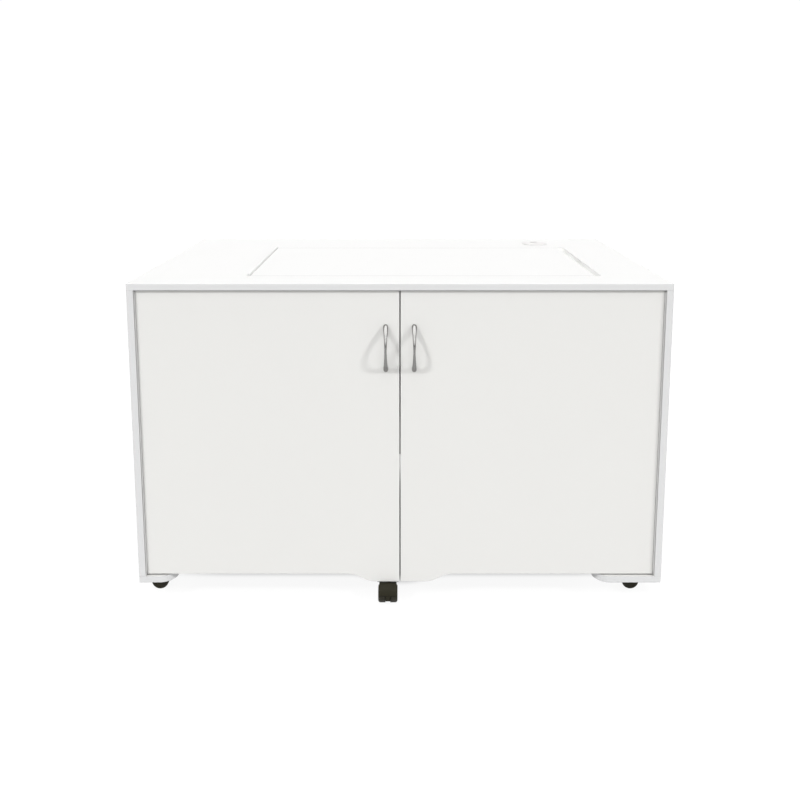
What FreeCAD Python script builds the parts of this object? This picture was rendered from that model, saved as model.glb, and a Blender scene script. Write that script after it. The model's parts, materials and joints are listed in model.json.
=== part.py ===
"""Sewing cabinet on casters, with inset doors, a folding lid and a gas-spring lift for the machine.

Millimetres. +X runs to the right as seen from the front, +Y to the back and +Z up.
The origin lies on the floor, under the middle of the cabinet with its handles.
"""
import math
import os

import FreeCAD
import Part

Vector = FreeCAD.Vector

# Carcass
CABINET_WIDTH = 1270.0
CABINET_DEPTH = 750.0
CABINET_HEIGHT = 790.0
BOARD = 16.0
EDGE_ROUND = 1.0
LEFT_BASE_WIDTH = 86.0
RIGHT_BASE_WIDTH = 160.0
BASE_CORNER_RADIUS = 38.0

# Doors
DOOR_RECESS = 5.0
DOOR_TOP_GAP = 2.0
DOOR_BOTTOM_GAP = 4.0
DOOR_MEETING_GAP = 3.0
TONGUE_TO_CURVE_FOOT = 78.0
TONGUE_TO_CURVE_HEAD = 111.0
TONGUE_CURVE_RADIUS = 60.0

# Continuous hinges of the doors
DOOR_HINGE_CLEARANCE = 0.2
DOOR_HINGE_BARREL = 3.2
DOOR_HINGE_PIN = 1.6
DOOR_HINGE_SHEET = 0.8
DOOR_HINGE_AHEAD = 2.4
DOOR_HINGE_END_MARGIN = 6.0
DOOR_HINGE_KNUCKLES = 5

# Lid, its opening in the top and its ledges
WELL_LEFT_MARGIN = 260.0
WELL_RIGHT_MARGIN = 145.0
WELL_FRONT_MARGIN = 101.0
WELL_BACK_MARGIN = 195.0
WELL_CORNER_RADIUS = 2.0
LID_FINGER_GAP = 16.0
LID_SIDE_GAP = 1.5
FINGER_PULL_LENGTH = 120.0
FINGER_PULL_WIDTH = 18.0
FINGER_PULL_DEPTH = 8.0
LEDGE_WIDTH = 60.0
LEDGE_THICKNESS = 12.0
LEDGE_OVERLAP = 14.0

# Continuous hinge of the lid
LID_HINGE_CLEARANCE = 1.0
LID_HINGE_BARREL = 8.0
LID_HINGE_PIN = 4.0
LID_HINGE_SHEET = 1.5
LID_HINGE_RISE = 0.3
LID_HINGE_END_MARGIN = 6.0
LID_HINGE_KNUCKLES = 5

# Every hinge
LEAF_NOTCH = 0.4
LEAF_EDGE_MARGIN = 1.0
KNUCKLE_END_GAP = 0.4
RUNNING_CLEARANCE = 0.05

# Bow handles
HANDLE_FROM_EDGE = 32.0
HANDLE_DROP = 155.0
HANDLE_PROJECTION = 30.0
HANDLE_SPAN = 96.0
HANDLE_END_WIDTH = 14.5
HANDLE_END_THICKNESS = 25.0
HANDLE_WAIST_WIDTH = 4.4
HANDLE_WAIST_THICKNESS = 5.5
HANDLE_OVERRUN = 12.0
HANDLE_WIDTH_TAPER = 1.5
HANDLE_THICKNESS_TAPER = 3.0
HANDLE_SECTIONS = 7

# Magnetic catches
CATCH_FROM_CENTRE = 40.0
CATCH_WIDTH = 46.0
CATCH_DEPTH = 16.0
CATCH_HEIGHT = 13.0
CATCH_CORNER = 3.0
STRIKE_WIDTH = 38.0
STRIKE_HEIGHT = 12.0
STRIKE_SHEET = 1.2
STRIKE_GAP = 0.3

# Cable cover
GROMMET_FROM_RIGHT = 218.0
GROMMET_FROM_BACK = 110.0
GROMMET_FLANGE = 75.0
GROMMET_HOLE = 60.0
GROMMET_WALL = 2.0
GROMMET_RISE = 2.5
GROMMET_DEPTH = 20.0
GROMMET_LIP = 2.5
CAP_THICKNESS = 3.0
CAP_CLEARANCE = 0.3
CAP_SLOT_WIDTH = 22.0
CAP_SLOT_DEPTH = 15.0

# Partitions and lift
PARTITION_SETBACK = 90.0
PLATFORM_DROP = 360.0
PLATFORM_MARGIN = 17.0
RAIL_WIDTH = 46.0
RAIL_DEPTH = 13.0
RAIL_SHEET = 1.5
RAIL_LIP = 8.0
RAIL_TOP_GAP = 54.0
RAIL_TAIL = 10.0
WELL_TO_RAIL = 3.0
RUNNER_CLEARANCE = 0.4
RUNNER_PROUD = 0.5
RUNNER_ABOVE = 10.0
RUNNER_BELOW = 110.0
BRACKET_SHEET = 3.0
BRACKET_ARM = 62.0
BRACKET_DROP = 60.0
BRACKET_FRONT = 125.0
BRACKET_BACK = 60.0
PLATFORM_SIDE_GAP = 0.5

# Gas springs and the release lever
SPRING_TO_PLATE = 27.0
SPRING_AHEAD = 95.0
SPRING_BRACKET_RISE = 15.0
SPRING_BRACKET_SHEET = 3.0
SPRING_BRACKET_WIDTH = 44.0
SPRING_BRACKET_HEIGHT = 60.0
SPRING_CYLINDER = 18.0
SPRING_WALL = 1.5
SPRING_GLAND = 10.0
SPRING_FOOT_HEIGHT = 8.0
SPRING_FOOT = 12.0
SPRING_ROD = 8.0
SPRING_ROD_SHOWN = 36.0
SPRING_PISTON_LENGTH = 12.0
SPRING_PISTON_CLEARANCE = 0.3
SPRING_END_GAP = 3.0
HEAD_WIDTH = 22.0
HEAD_HEIGHT = 20.0
HEAD_LENGTH = 34.0
LEVER_WIDTH = 14.0
LEVER_THICKNESS = 4.0
LEVER_AHEAD = 32.0
LEVER_SLOPE = 12.0
LEVER_PIN = 4.0
LEVER_SIDE_GAP = 0.4
GRIP_LENGTH = 60.0
GRIP_WIDTH = 20.0
GRIP_THICKNESS = 9.0

# Twin-wheel casters
CASTER_HEIGHT = 49.0
CASTER_PLATE = 2.5
CASTER_PLATE_SIDE = 42.0
DOOR_PLATE_LENGTH = 52.0
DOOR_PLATE_WIDTH = 14.0
CASTER_SWIVEL_GAP = 1.0
CASTER_TRAIL = 12.0
CASTER_FROM_SIDE = 45.0
CASTER_FROM_FRONT = 74.0
DOOR_CASTER_FROM_EDGE = 28.0
HOOD_SHEET = 2.5
HOOD_WHEEL_GAP = 1.0
HOOD_WIDTH = 42.0
HOOD_WEB = 11.0
HOOD_COVER_ANGLE = 75.0
HOOD_WEB_DROP = 8.0
KINGPIN = 8.0
KINGPIN_LENGTH = 13.0
KINGPIN_BOSS = 17.0
KINGPIN_BOSS_HEIGHT = 7.5
AXLE = 6.0
WHEEL_OUTER_WIDTH = 47.0
WHEEL_WEB_GAP = 0.8
WHEEL_SHOULDER = 4.5
WHEEL_DISH = 2.0
WHEEL_HUB = 6.0

# Places that follow from the sizes above
HALF_WIDTH = CABINET_WIDTH / 2
HANDLE_OVERHANG = HANDLE_PROJECTION - DOOR_RECESS
FRONT_Y = (HANDLE_OVERHANG - CABINET_DEPTH) / 2
BACK_Y = FRONT_Y + CABINET_DEPTH
TOP_UNDERSIDE = CABINET_HEIGHT - BOARD
BASE_TOP = CASTER_HEIGHT + BOARD
SIDE_INNER = HALF_WIDTH - BOARD
BACK_INNER = BACK_Y - BOARD
DOOR_FRONT = FRONT_Y + DOOR_RECESS
DOOR_BACK = DOOR_FRONT + BOARD
DOOR_TOP = TOP_UNDERSIDE - DOOR_TOP_GAP
DOOR_BOTTOM = BASE_TOP + DOOR_BOTTOM_GAP
DOOR_EDGE = DOOR_MEETING_GAP / 2
DOOR_HINGE_GAP = DOOR_HINGE_BARREL + 2 * DOOR_HINGE_CLEARANCE
HANDLE_X = DOOR_EDGE + HANDLE_FROM_EDGE
HANDLE_Z = CABINET_HEIGHT - HANDLE_DROP
WELL_LEFT = WELL_LEFT_MARGIN - HALF_WIDTH
WELL_RIGHT = HALF_WIDTH - WELL_RIGHT_MARGIN
WELL_FRONT = FRONT_Y + WELL_FRONT_MARGIN
WELL_BACK = BACK_Y - WELL_BACK_MARGIN
WELL_MIDDLE_Y = (WELL_FRONT + WELL_BACK) / 2
LID_HINGE_GAP = LID_HINGE_BARREL + 2 * LID_HINGE_CLEARANCE
LID_LEFT = WELL_LEFT + LID_HINGE_GAP
LID_RIGHT = WELL_RIGHT - LID_FINGER_GAP
LID_FRONT = WELL_FRONT + LID_SIDE_GAP
LID_BACK = WELL_BACK - LID_SIDE_GAP
PLATFORM_TOP = CABINET_HEIGHT - PLATFORM_DROP
PLATFORM_UNDERSIDE = PLATFORM_TOP - BOARD
PLATFORM_FRONT = WELL_FRONT + PLATFORM_MARGIN
BRACKET_UNDERSIDE = PLATFORM_UNDERSIDE - BRACKET_SHEET
SPRING_Y = WELL_MIDDLE_Y - SPRING_AHEAD
WHEEL_RADIUS = (CASTER_HEIGHT - CASTER_PLATE - CASTER_SWIVEL_GAP - HOOD_SHEET - HOOD_WHEEL_GAP) / 2


def box(x_low, x_high, y_low, y_high, z_low, z_high):
    """Box between two corners."""
    return Part.makeBox(x_high - x_low, y_high - y_low, z_high - z_low, Vector(x_low, y_low, z_low))


def rod(radius, start, end):
    """Round bar from one point to another."""
    return Part.makeCylinder(radius, (end - start).Length, start, end - start)


def side_by_side(*shapes):
    """Separate solids of one node."""
    return Part.makeCompound(list(shapes))


def joined(first, *others):
    """One solid made of pieces that meet."""
    return first.fuse(list(others)).removeSplitter()


def mirrored(shape):
    """Copy on the other side of the cabinet's middle plane."""
    return shape.mirror(Vector(0, 0, 0), Vector(1, 0, 0))


def outline(corners, plane_point):
    """Closed wire through corners (u, v, radius), each rounded by an arc of its radius."""
    points = [Vector(u, v, 0) for u, v, _ in corners]
    stretches = []
    for index, (_, _, radius) in enumerate(corners):
        corner = points[index]
        to_last = (points[index - 1] - corner).normalize()
        to_next = (points[(index + 1) % len(points)] - corner).normalize()
        half_angle = to_last.getAngle(to_next) / 2
        inset = radius / math.tan(half_angle)
        middle_way = (to_last + to_next).normalize() * (radius / math.sin(half_angle) - radius)
        stretches.append((corner + to_last * inset, corner + middle_way, corner + to_next * inset, radius))
    edges = []
    for index, (start, middle, end, radius) in enumerate(stretches):
        if radius > 0:
            arc = [plane_point(point.x, point.y) for point in (start, middle, end)]
            edges.append(Part.Arc(*arc).toShape())
        next_start = stretches[(index + 1) % len(stretches)][0]
        if (next_start - end).Length > 1e-6:
            line = [plane_point(point.x, point.y) for point in (end, next_start)]
            edges.append(Part.LineSegment(*line).toShape())
    return Part.Wire(edges)


def flat_plate(corners, z_low, z_high):
    """Horizontal plate with the given outline."""
    wire = outline(corners, lambda u, v: Vector(u, v, z_low))
    return Part.Face(wire).extrude(Vector(0, 0, z_high - z_low))


def rectangle(x_low, x_high, y_low, y_high, radius=0.0):
    """Corners of a rectangle, all with one radius."""
    corners = [(x_low, y_low), (x_high, y_low), (x_high, y_high), (x_low, y_high)]
    return [(x, y, radius) for x, y in corners]


def softened(shape, radius, is_edge):
    """Shape with the edges chosen by their box rounded."""
    return shape.makeFillet(radius, [edge for edge in shape.Edges if is_edge(edge.BoundBox)])


def top_panel():
    """Top board with the machine opening and the hole of the cable cover."""
    board = box(-HALF_WIDTH, HALF_WIDTH, FRONT_Y, BACK_Y, TOP_UNDERSIDE, CABINET_HEIGHT)
    board = softened(board, EDGE_ROUND, lambda bounds: bounds.ZMin > CABINET_HEIGHT - EDGE_ROUND)
    well = rectangle(WELL_LEFT, WELL_RIGHT, WELL_FRONT, WELL_BACK, WELL_CORNER_RADIUS)
    opening = flat_plate(well, TOP_UNDERSIDE, CABINET_HEIGHT)
    cable_hole = rod(GROMMET_HOLE / 2, grommet_point(TOP_UNDERSIDE), grommet_point(CABINET_HEIGHT))
    return board.cut([opening, cable_hole])


def lid_panel():
    """Lid board with a finger pull routed under its free edge."""
    corners = rectangle(LID_LEFT, LID_RIGHT, LID_FRONT, LID_BACK, WELL_CORNER_RADIUS)
    board = flat_plate(corners, TOP_UNDERSIDE, CABINET_HEIGHT)
    pull = rectangle(
        LID_RIGHT - FINGER_PULL_WIDTH,
        LID_RIGHT + FINGER_PULL_WIDTH,
        WELL_MIDDLE_Y - FINGER_PULL_LENGTH / 2,
        WELL_MIDDLE_Y + FINGER_PULL_LENGTH / 2,
        FINGER_PULL_WIDTH / 2,
    )
    return board.cut(flat_plate(pull, TOP_UNDERSIDE, TOP_UNDERSIDE + FINGER_PULL_DEPTH))


def lid_ledges():
    """Ledges under the top that the closed lid rests on: front, back and right."""
    heights = (TOP_UNDERSIDE - LEDGE_THICKNESS, TOP_UNDERSIDE)
    outer = LEDGE_WIDTH - LEDGE_OVERLAP
    front = box(WELL_LEFT, WELL_RIGHT, WELL_FRONT - outer, WELL_FRONT + LEDGE_OVERLAP, *heights)
    back = box(WELL_LEFT, WELL_RIGHT, WELL_BACK - LEDGE_OVERLAP, WELL_BACK + outer, *heights)
    right = box(
        LID_RIGHT - LEDGE_OVERLAP,
        partition_inner(WELL_RIGHT, 1),
        WELL_FRONT + LEDGE_OVERLAP,
        WELL_BACK - LEDGE_OVERLAP,
        *heights,
    )
    return {"lid_ledge_front": front, "lid_ledge_back": back, "lid_ledge_right": right}


def side_panel():
    """Left side board, standing on its base board."""
    return box(-HALF_WIDTH, -SIDE_INNER, FRONT_Y, BACK_Y, BASE_TOP, TOP_UNDERSIDE)


def base_board(width):
    """Left base board with rounded inner corners."""
    inner = width - HALF_WIDTH
    corners = [
        (-HALF_WIDTH, FRONT_Y, 0.0),
        (inner, FRONT_Y, BASE_CORNER_RADIUS),
        (inner, BACK_Y, BASE_CORNER_RADIUS),
        (-HALF_WIDTH, BACK_Y, 0.0),
    ]
    return flat_plate(corners, CASTER_HEIGHT, BASE_TOP)


def back_panel():
    """Back board between the sides."""
    return box(-SIDE_INNER, SIDE_INNER, BACK_INNER, BACK_Y, BASE_TOP, TOP_UNDERSIDE)


def door():
    """Left door, with the tongue at its free edge."""
    hinge_edge = DOOR_HINGE_GAP - SIDE_INNER
    corners = [
        (hinge_edge, DOOR_BOTTOM, 0.0),
        (-TONGUE_TO_CURVE_HEAD, DOOR_BOTTOM, TONGUE_CURVE_RADIUS),
        (-TONGUE_TO_CURVE_FOOT, CASTER_HEIGHT, TONGUE_CURVE_RADIUS),
        (-DOOR_EDGE, CASTER_HEIGHT, 0.0),
        (-DOOR_EDGE, DOOR_TOP, 0.0),
        (hinge_edge, DOOR_TOP, 0.0),
    ]
    wire = outline(corners, lambda u, v: Vector(u, DOOR_FRONT, v))
    return Part.Face(wire).extrude(Vector(0, BOARD, 0))


def continuous_hinge(length, knuckles, gap, barrel, pin, sheet, reach):
    """Two leaves and a pin on the Z axis, with the fixed leaf at -X and both leaves towards +Y."""
    pitch = length / knuckles
    notch = barrel / 2 + LEAF_NOTCH
    bore = rod(pin / 2 + RUNNING_CLEARANCE, Vector(0, 0, 0), Vector(0, 0, length))
    leaves = []
    for turn, side in ((0, -1), (1, 1)):
        near, far = sorted((side * gap / 2, side * (gap / 2 - sheet)))
        pieces = [box(near, far, notch, reach, 0, length)]
        for index in range(turn, knuckles, 2):
            low = index * pitch + KNUCKLE_END_GAP / 2
            high = (index + 1) * pitch - KNUCKLE_END_GAP / 2
            pieces.append(box(near, far, 0, notch, low, high))
            pieces.append(rod(barrel / 2, Vector(0, 0, low), Vector(0, 0, high)))
        leaves.append(joined(*pieces).cut(bore))
    return leaves[0], leaves[1], rod(pin / 2, Vector(0, 0, 0), Vector(0, 0, length))


def door_hinge():
    """Continuous hinge of the left door: side leaf, door leaf and pin."""
    start = Vector(
        DOOR_HINGE_GAP / 2 - SIDE_INNER,
        DOOR_FRONT - DOOR_HINGE_AHEAD,
        DOOR_BOTTOM + DOOR_HINGE_END_MARGIN,
    )
    pieces = continuous_hinge(
        DOOR_TOP - DOOR_HINGE_END_MARGIN - start.z,
        DOOR_HINGE_KNUCKLES,
        DOOR_HINGE_GAP,
        DOOR_HINGE_BARREL,
        DOOR_HINGE_PIN,
        DOOR_HINGE_SHEET,
        DOOR_HINGE_AHEAD + BOARD - LEAF_EDGE_MARGIN,
    )
    return [piece.translated(start) for piece in pieces]


def lid_hinge():
    """Continuous hinge of the lid: top leaf, lid leaf and pin."""
    start = Vector(
        WELL_LEFT + LID_HINGE_GAP / 2,
        LID_FRONT + LID_HINGE_END_MARGIN,
        CABINET_HEIGHT + LID_HINGE_RISE,
    )
    pieces = continuous_hinge(
        LID_BACK - LID_HINGE_END_MARGIN - start.y,
        LID_HINGE_KNUCKLES,
        LID_HINGE_GAP,
        LID_HINGE_BARREL,
        LID_HINGE_PIN,
        LID_HINGE_SHEET,
        LID_HINGE_RISE + BOARD - LEAF_EDGE_MARGIN,
    )
    lying = FreeCAD.Rotation(Vector(1, 0, 0), -90)
    return [piece.transformed(FreeCAD.Placement(start, lying).toMatrix()) for piece in pieces]


def bow_handle():
    """Left handle: a bow that flares from a slender waist to its two feet."""
    half_span = HANDLE_SPAN / 2
    rise = HANDLE_PROJECTION - HANDLE_WAIST_THICKNESS / 2
    bow_radius = (half_span ** 2 + rise ** 2) / (2 * rise)
    reach = math.degrees(math.asin(half_span / bow_radius) + HANDLE_OVERRUN / bow_radius)
    centre = Vector(-HANDLE_X, DOOR_FRONT - rise + bow_radius, HANDLE_Z)
    sections = []
    for index in range(HANDLE_SECTIONS):
        way = 2 * index / (HANDLE_SECTIONS - 1) - 1
        flare = abs(way) ** HANDLE_WIDTH_TAPER
        swell = abs(way) ** HANDLE_THICKNESS_TAPER
        width = HANDLE_WAIST_WIDTH + flare * (HANDLE_END_WIDTH - HANDLE_WAIST_WIDTH)
        thickness = HANDLE_WAIST_THICKNESS + swell * (HANDLE_END_THICKNESS - HANDLE_WAIST_THICKNESS)
        wide, narrow = (width, thickness) if width >= thickness else (thickness, width)
        ellipse = Part.Wire(Part.Ellipse(Vector(0, 0, 0), wide / 2, narrow / 2).toShape())
        if thickness > width:
            ellipse.rotate(Vector(0, 0, 0), Vector(0, 0, 1), 90)
        ellipse.translate(Vector(0, -bow_radius, 0))
        ellipse.rotate(Vector(0, 0, 0), Vector(1, 0, 0), -way * reach)
        sections.append(ellipse.translated(centre))
    bow = Part.makeLoft(sections, True)
    ends = half_span + 2 * HANDLE_END_THICKNESS
    behind_door_face = box(
        -HANDLE_X - HANDLE_END_WIDTH,
        -HANDLE_X + HANDLE_END_WIDTH,
        DOOR_FRONT,
        DOOR_FRONT + bow_radius,
        HANDLE_Z - ends,
        HANDLE_Z + ends,
    )
    return bow.cut(behind_door_face)


def catch_and_strike():
    """Magnetic catch under the top and its strike plate on the left door."""
    pole_face = DOOR_BACK + STRIKE_SHEET + STRIKE_GAP
    low_x = -CATCH_FROM_CENTRE - CATCH_WIDTH / 2
    high_x = -CATCH_FROM_CENTRE + CATCH_WIDTH / 2
    corners = [
        (low_x, pole_face, 0.0),
        (high_x, pole_face, 0.0),
        (high_x, pole_face + CATCH_DEPTH, CATCH_CORNER),
        (low_x, pole_face + CATCH_DEPTH, CATCH_CORNER),
    ]
    catch = flat_plate(corners, TOP_UNDERSIDE - CATCH_HEIGHT, TOP_UNDERSIDE)
    strike = box(
        -CATCH_FROM_CENTRE - STRIKE_WIDTH / 2,
        -CATCH_FROM_CENTRE + STRIKE_WIDTH / 2,
        DOOR_BACK,
        DOOR_BACK + STRIKE_SHEET,
        DOOR_TOP - STRIKE_HEIGHT,
        DOOR_TOP,
    )
    return catch, strike


def grommet_point(height):
    """Point on the axis of the cable cover."""
    return Vector(HALF_WIDTH - GROMMET_FROM_RIGHT, BACK_Y - GROMMET_FROM_BACK, height)


def grommet_ring():
    """Ring of the cable cover: flange, sleeve and the lip that carries the cap."""
    outer = GROMMET_HOLE / 2 - RUNNING_CLEARANCE
    inner = outer - GROMMET_WALL
    cap_seat = CABINET_HEIGHT + GROMMET_RISE - CAP_THICKNESS
    flange_top = CABINET_HEIGHT + GROMMET_RISE
    profile = [
        (inner, flange_top, 0.0),
        (GROMMET_FLANGE / 2 - GROMMET_RISE, flange_top, 0.0),
        (GROMMET_FLANGE / 2, CABINET_HEIGHT, 0.0),
        (outer, CABINET_HEIGHT, 0.0),
        (outer, CABINET_HEIGHT - GROMMET_DEPTH, 0.0),
        (inner, CABINET_HEIGHT - GROMMET_DEPTH, 0.0),
        (inner, cap_seat - GROMMET_LIP, 0.0),
        (inner - GROMMET_LIP, cap_seat, 0.0),
        (inner, cap_seat, 0.0),
    ]
    axis_point = grommet_point(0)
    face = Part.Face(outline(profile, lambda u, v: axis_point + Vector(u, 0, v)))
    return face.revolve(axis_point, Vector(0, 0, 1), 360)


def grommet_cap():
    """Turning cap of the cable cover, with a cable slot at its edge."""
    radius = GROMMET_HOLE / 2 - RUNNING_CLEARANCE - GROMMET_WALL - CAP_CLEARANCE
    top = CABINET_HEIGHT + GROMMET_RISE
    middle = grommet_point(top)
    disc = rod(radius, grommet_point(top - CAP_THICKNESS), middle)
    slot = rectangle(
        middle.x - CAP_SLOT_WIDTH / 2,
        middle.x + CAP_SLOT_WIDTH / 2,
        middle.y + radius - CAP_SLOT_DEPTH,
        middle.y + radius + CAP_SLOT_DEPTH,
        CAP_SLOT_DEPTH / 3,
    )
    return disc.cut(flat_plate(slot, top - CAP_THICKNESS, top))


def partition_inner(well_edge, side):
    """X of a partition's face towards the well, on the left (side -1) or the right (side 1)."""
    return well_edge + side * (WELL_TO_RAIL + RAIL_DEPTH)


def lift_side(well_edge, side):
    """Pieces of the lift on one side of the well, keyed by their plain names."""
    wall = partition_inner(well_edge, side)

    def across(start, end, y_low, y_high, z_low, z_high):
        """Box whose first two values are distances from the partition into the well."""
        x_low, x_high = sorted((wall - side * start, wall - side * end))
        return box(x_low, x_high, y_low, y_high, z_low, z_high)

    partition = across(-BOARD, 0, FRONT_Y + PARTITION_SETBACK, BACK_INNER, BASE_TOP, TOP_UNDERSIDE)

    rail_low = PLATFORM_TOP - RUNNER_BELOW - RAIL_TAIL
    rail_high = TOP_UNDERSIDE - RAIL_TOP_GAP
    y_low = WELL_MIDDLE_Y - RAIL_WIDTH / 2
    y_high = WELL_MIDDLE_Y + RAIL_WIDTH / 2
    mouth_low = y_low + RAIL_LIP
    mouth_high = y_high - RAIL_LIP
    throat = RAIL_DEPTH - RAIL_SHEET
    channel = across(0, RAIL_DEPTH, y_low, y_high, rail_low, rail_high)
    hollow = across(RAIL_SHEET, throat, y_low + RAIL_SHEET, y_high - RAIL_SHEET, rail_low, rail_high)
    mouth = across(throat, RAIL_DEPTH, mouth_low, mouth_high, rail_low, rail_high)
    rail = channel.cut([hollow, mouth])

    runner_low = PLATFORM_TOP - RUNNER_BELOW
    runner_high = PLATFORM_TOP + RUNNER_ABOVE
    side_room = RAIL_SHEET + RUNNER_CLEARANCE
    plate_start = RAIL_DEPTH + RUNNER_PROUD
    slider = across(
        side_room,
        throat - RUNNER_CLEARANCE,
        y_low + side_room,
        y_high - side_room,
        runner_low,
        runner_high,
    )
    neck = across(
        throat - RUNNER_CLEARANCE,
        plate_start,
        mouth_low + RUNNER_CLEARANCE,
        mouth_high - RUNNER_CLEARANCE,
        runner_low,
        runner_high,
    )
    runner = joined(slider, neck)

    plate_end = plate_start + BRACKET_SHEET
    front = WELL_MIDDLE_Y - BRACKET_FRONT
    back = WELL_MIDDLE_Y + BRACKET_BACK
    arm_end = plate_start + BRACKET_ARM
    upright_low = PLATFORM_UNDERSIDE - BRACKET_DROP
    upright = across(plate_start, plate_end, front, back, upright_low, PLATFORM_UNDERSIDE)
    arm = across(plate_start, arm_end, front, back, BRACKET_UNDERSIDE, PLATFORM_UNDERSIDE)
    bracket = joined(upright, arm)

    foot_height = BASE_TOP + SPRING_BRACKET_RISE
    foot_reach = plate_end + SPRING_TO_PLATE + SPRING_BRACKET_WIDTH / 2
    foot_front = SPRING_Y - SPRING_BRACKET_WIDTH / 2
    foot_back = SPRING_Y + SPRING_BRACKET_WIDTH / 2
    wall_leg = across(
        0,
        SPRING_BRACKET_SHEET,
        foot_front,
        foot_back,
        foot_height,
        foot_height + SPRING_BRACKET_HEIGHT,
    )
    shelf = across(
        0,
        foot_reach,
        foot_front,
        foot_back,
        foot_height,
        foot_height + SPRING_BRACKET_SHEET,
    )
    foot = joined(wall_leg, shelf)

    spring_x = wall - side * (plate_end + SPRING_TO_PLATE)
    cylinder, piston_rod = gas_spring(spring_x, foot_height + SPRING_BRACKET_SHEET)
    return {
        "partition": partition,
        "guide_rail": rail,
        "runner": runner,
        "platform_bracket": bracket,
        "spring_foot": foot,
        "spring_cylinder": cylinder,
        "spring_rod": piston_rod,
    }


def gas_spring(x, foot_top):
    """Cylinder standing on its foot, and the rod that carries the platform bracket."""
    axis_point = Vector(x, SPRING_Y, 0)

    def at(height):
        return axis_point + Vector(0, 0, height)

    body_low = foot_top + SPRING_FOOT_HEIGHT
    body_high = BRACKET_UNDERSIDE - SPRING_ROD_SHOWN
    bore_radius = SPRING_CYLINDER / 2 - SPRING_WALL
    gland_low = body_high - SPRING_GLAND
    foot = rod(SPRING_FOOT / 2, at(foot_top), at(body_low))
    tube = rod(SPRING_CYLINDER / 2, at(body_low), at(body_high))
    bore = rod(bore_radius, at(body_low + SPRING_END_GAP), at(gland_low))
    gland = rod(SPRING_ROD / 2 + RUNNING_CLEARANCE, at(gland_low), at(body_high))
    cylinder = joined(foot, tube).cut([bore, gland])

    piston_low = body_low + 2 * SPRING_END_GAP
    piston = rod(bore_radius - SPRING_PISTON_CLEARANCE, at(piston_low), at(piston_low + SPRING_PISTON_LENGTH))
    stem = rod(SPRING_ROD / 2, at(piston_low), at(BRACKET_UNDERSIDE))
    return cylinder, joined(piston, stem)


def platform_board():
    """Board that the machine stands on."""
    plate_end = WELL_TO_RAIL - RUNNER_PROUD - BRACKET_SHEET - PLATFORM_SIDE_GAP
    return box(
        WELL_LEFT - plate_end,
        WELL_RIGHT + plate_end,
        PLATFORM_FRONT,
        WELL_BACK - PLATFORM_MARGIN,
        PLATFORM_UNDERSIDE,
        PLATFORM_TOP,
    )


def release_lever(spring_x):
    """Release head on the right gas spring, and the lever that opens its valve."""
    head_low = BRACKET_UNDERSIDE - HEAD_HEIGHT
    pivot = Vector(spring_x, SPRING_Y - HEAD_LENGTH / 2, head_low + HEAD_HEIGHT / 2)
    half_width = HEAD_WIDTH / 2
    block = box(
        spring_x - half_width,
        spring_x + half_width,
        pivot.y - HEAD_HEIGHT / 2,
        SPRING_Y + HEAD_LENGTH / 2,
        head_low,
        BRACKET_UNDERSIDE,
    )
    slot_half = LEVER_WIDTH / 2 + LEVER_SIDE_GAP
    slot = box(
        spring_x - slot_half,
        spring_x + slot_half,
        pivot.y - HEAD_HEIGHT,
        pivot.y + HEAD_HEIGHT / 2,
        head_low,
        BRACKET_UNDERSIDE,
    )
    rod_hole = rod(
        SPRING_ROD / 2 + RUNNING_CLEARANCE,
        Vector(spring_x, SPRING_Y, head_low),
        Vector(spring_x, SPRING_Y, BRACKET_UNDERSIDE),
    )
    pin_start = pivot - Vector(half_width, 0, 0)
    pin_end = pivot + Vector(half_width, 0, 0)
    pin_hole = rod(LEVER_PIN / 2 + RUNNING_CLEARANCE, pin_start, pin_end)
    head = block.cut([slot, rod_hole, pin_hole])

    lever_length = pivot.y - PLATFORM_FRONT + LEVER_AHEAD
    eye_radius = HEAD_HEIGHT / 4
    half_lever = LEVER_WIDTH / 2
    eye = rod(eye_radius, pivot - Vector(half_lever, 0, 0), pivot + Vector(half_lever, 0, 0))
    pin = rod(LEVER_PIN / 2, pin_start, pin_end)
    arm = box(
        spring_x - half_lever,
        spring_x + half_lever,
        pivot.y - lever_length,
        pivot.y,
        pivot.z - LEVER_THICKNESS / 2,
        pivot.z + LEVER_THICKNESS / 2,
    )
    grip = box(
        spring_x - GRIP_WIDTH / 2,
        spring_x + GRIP_WIDTH / 2,
        pivot.y - lever_length - GRIP_LENGTH / 2,
        pivot.y - lever_length + GRIP_LENGTH / 2,
        pivot.z - GRIP_THICKNESS / 2,
        pivot.z + GRIP_THICKNESS / 2,
    )
    lever = joined(eye, pin, arm, grip)
    lever.rotate(pivot, Vector(1, 0, 0), LEVER_SLOPE)
    return head, lever


def caster_plate(length, width):
    """Mounting plate and the kingpin riveted to it, on the swivel axis of a caster."""
    low = CASTER_HEIGHT - CASTER_PLATE
    plate = box(-length / 2, length / 2, -width / 2, width / 2, low, CASTER_HEIGHT)
    kingpin = rod(KINGPIN / 2, Vector(0, 0, low - KINGPIN_LENGTH), Vector(0, 0, low))
    return side_by_side(plate, kingpin)


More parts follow.
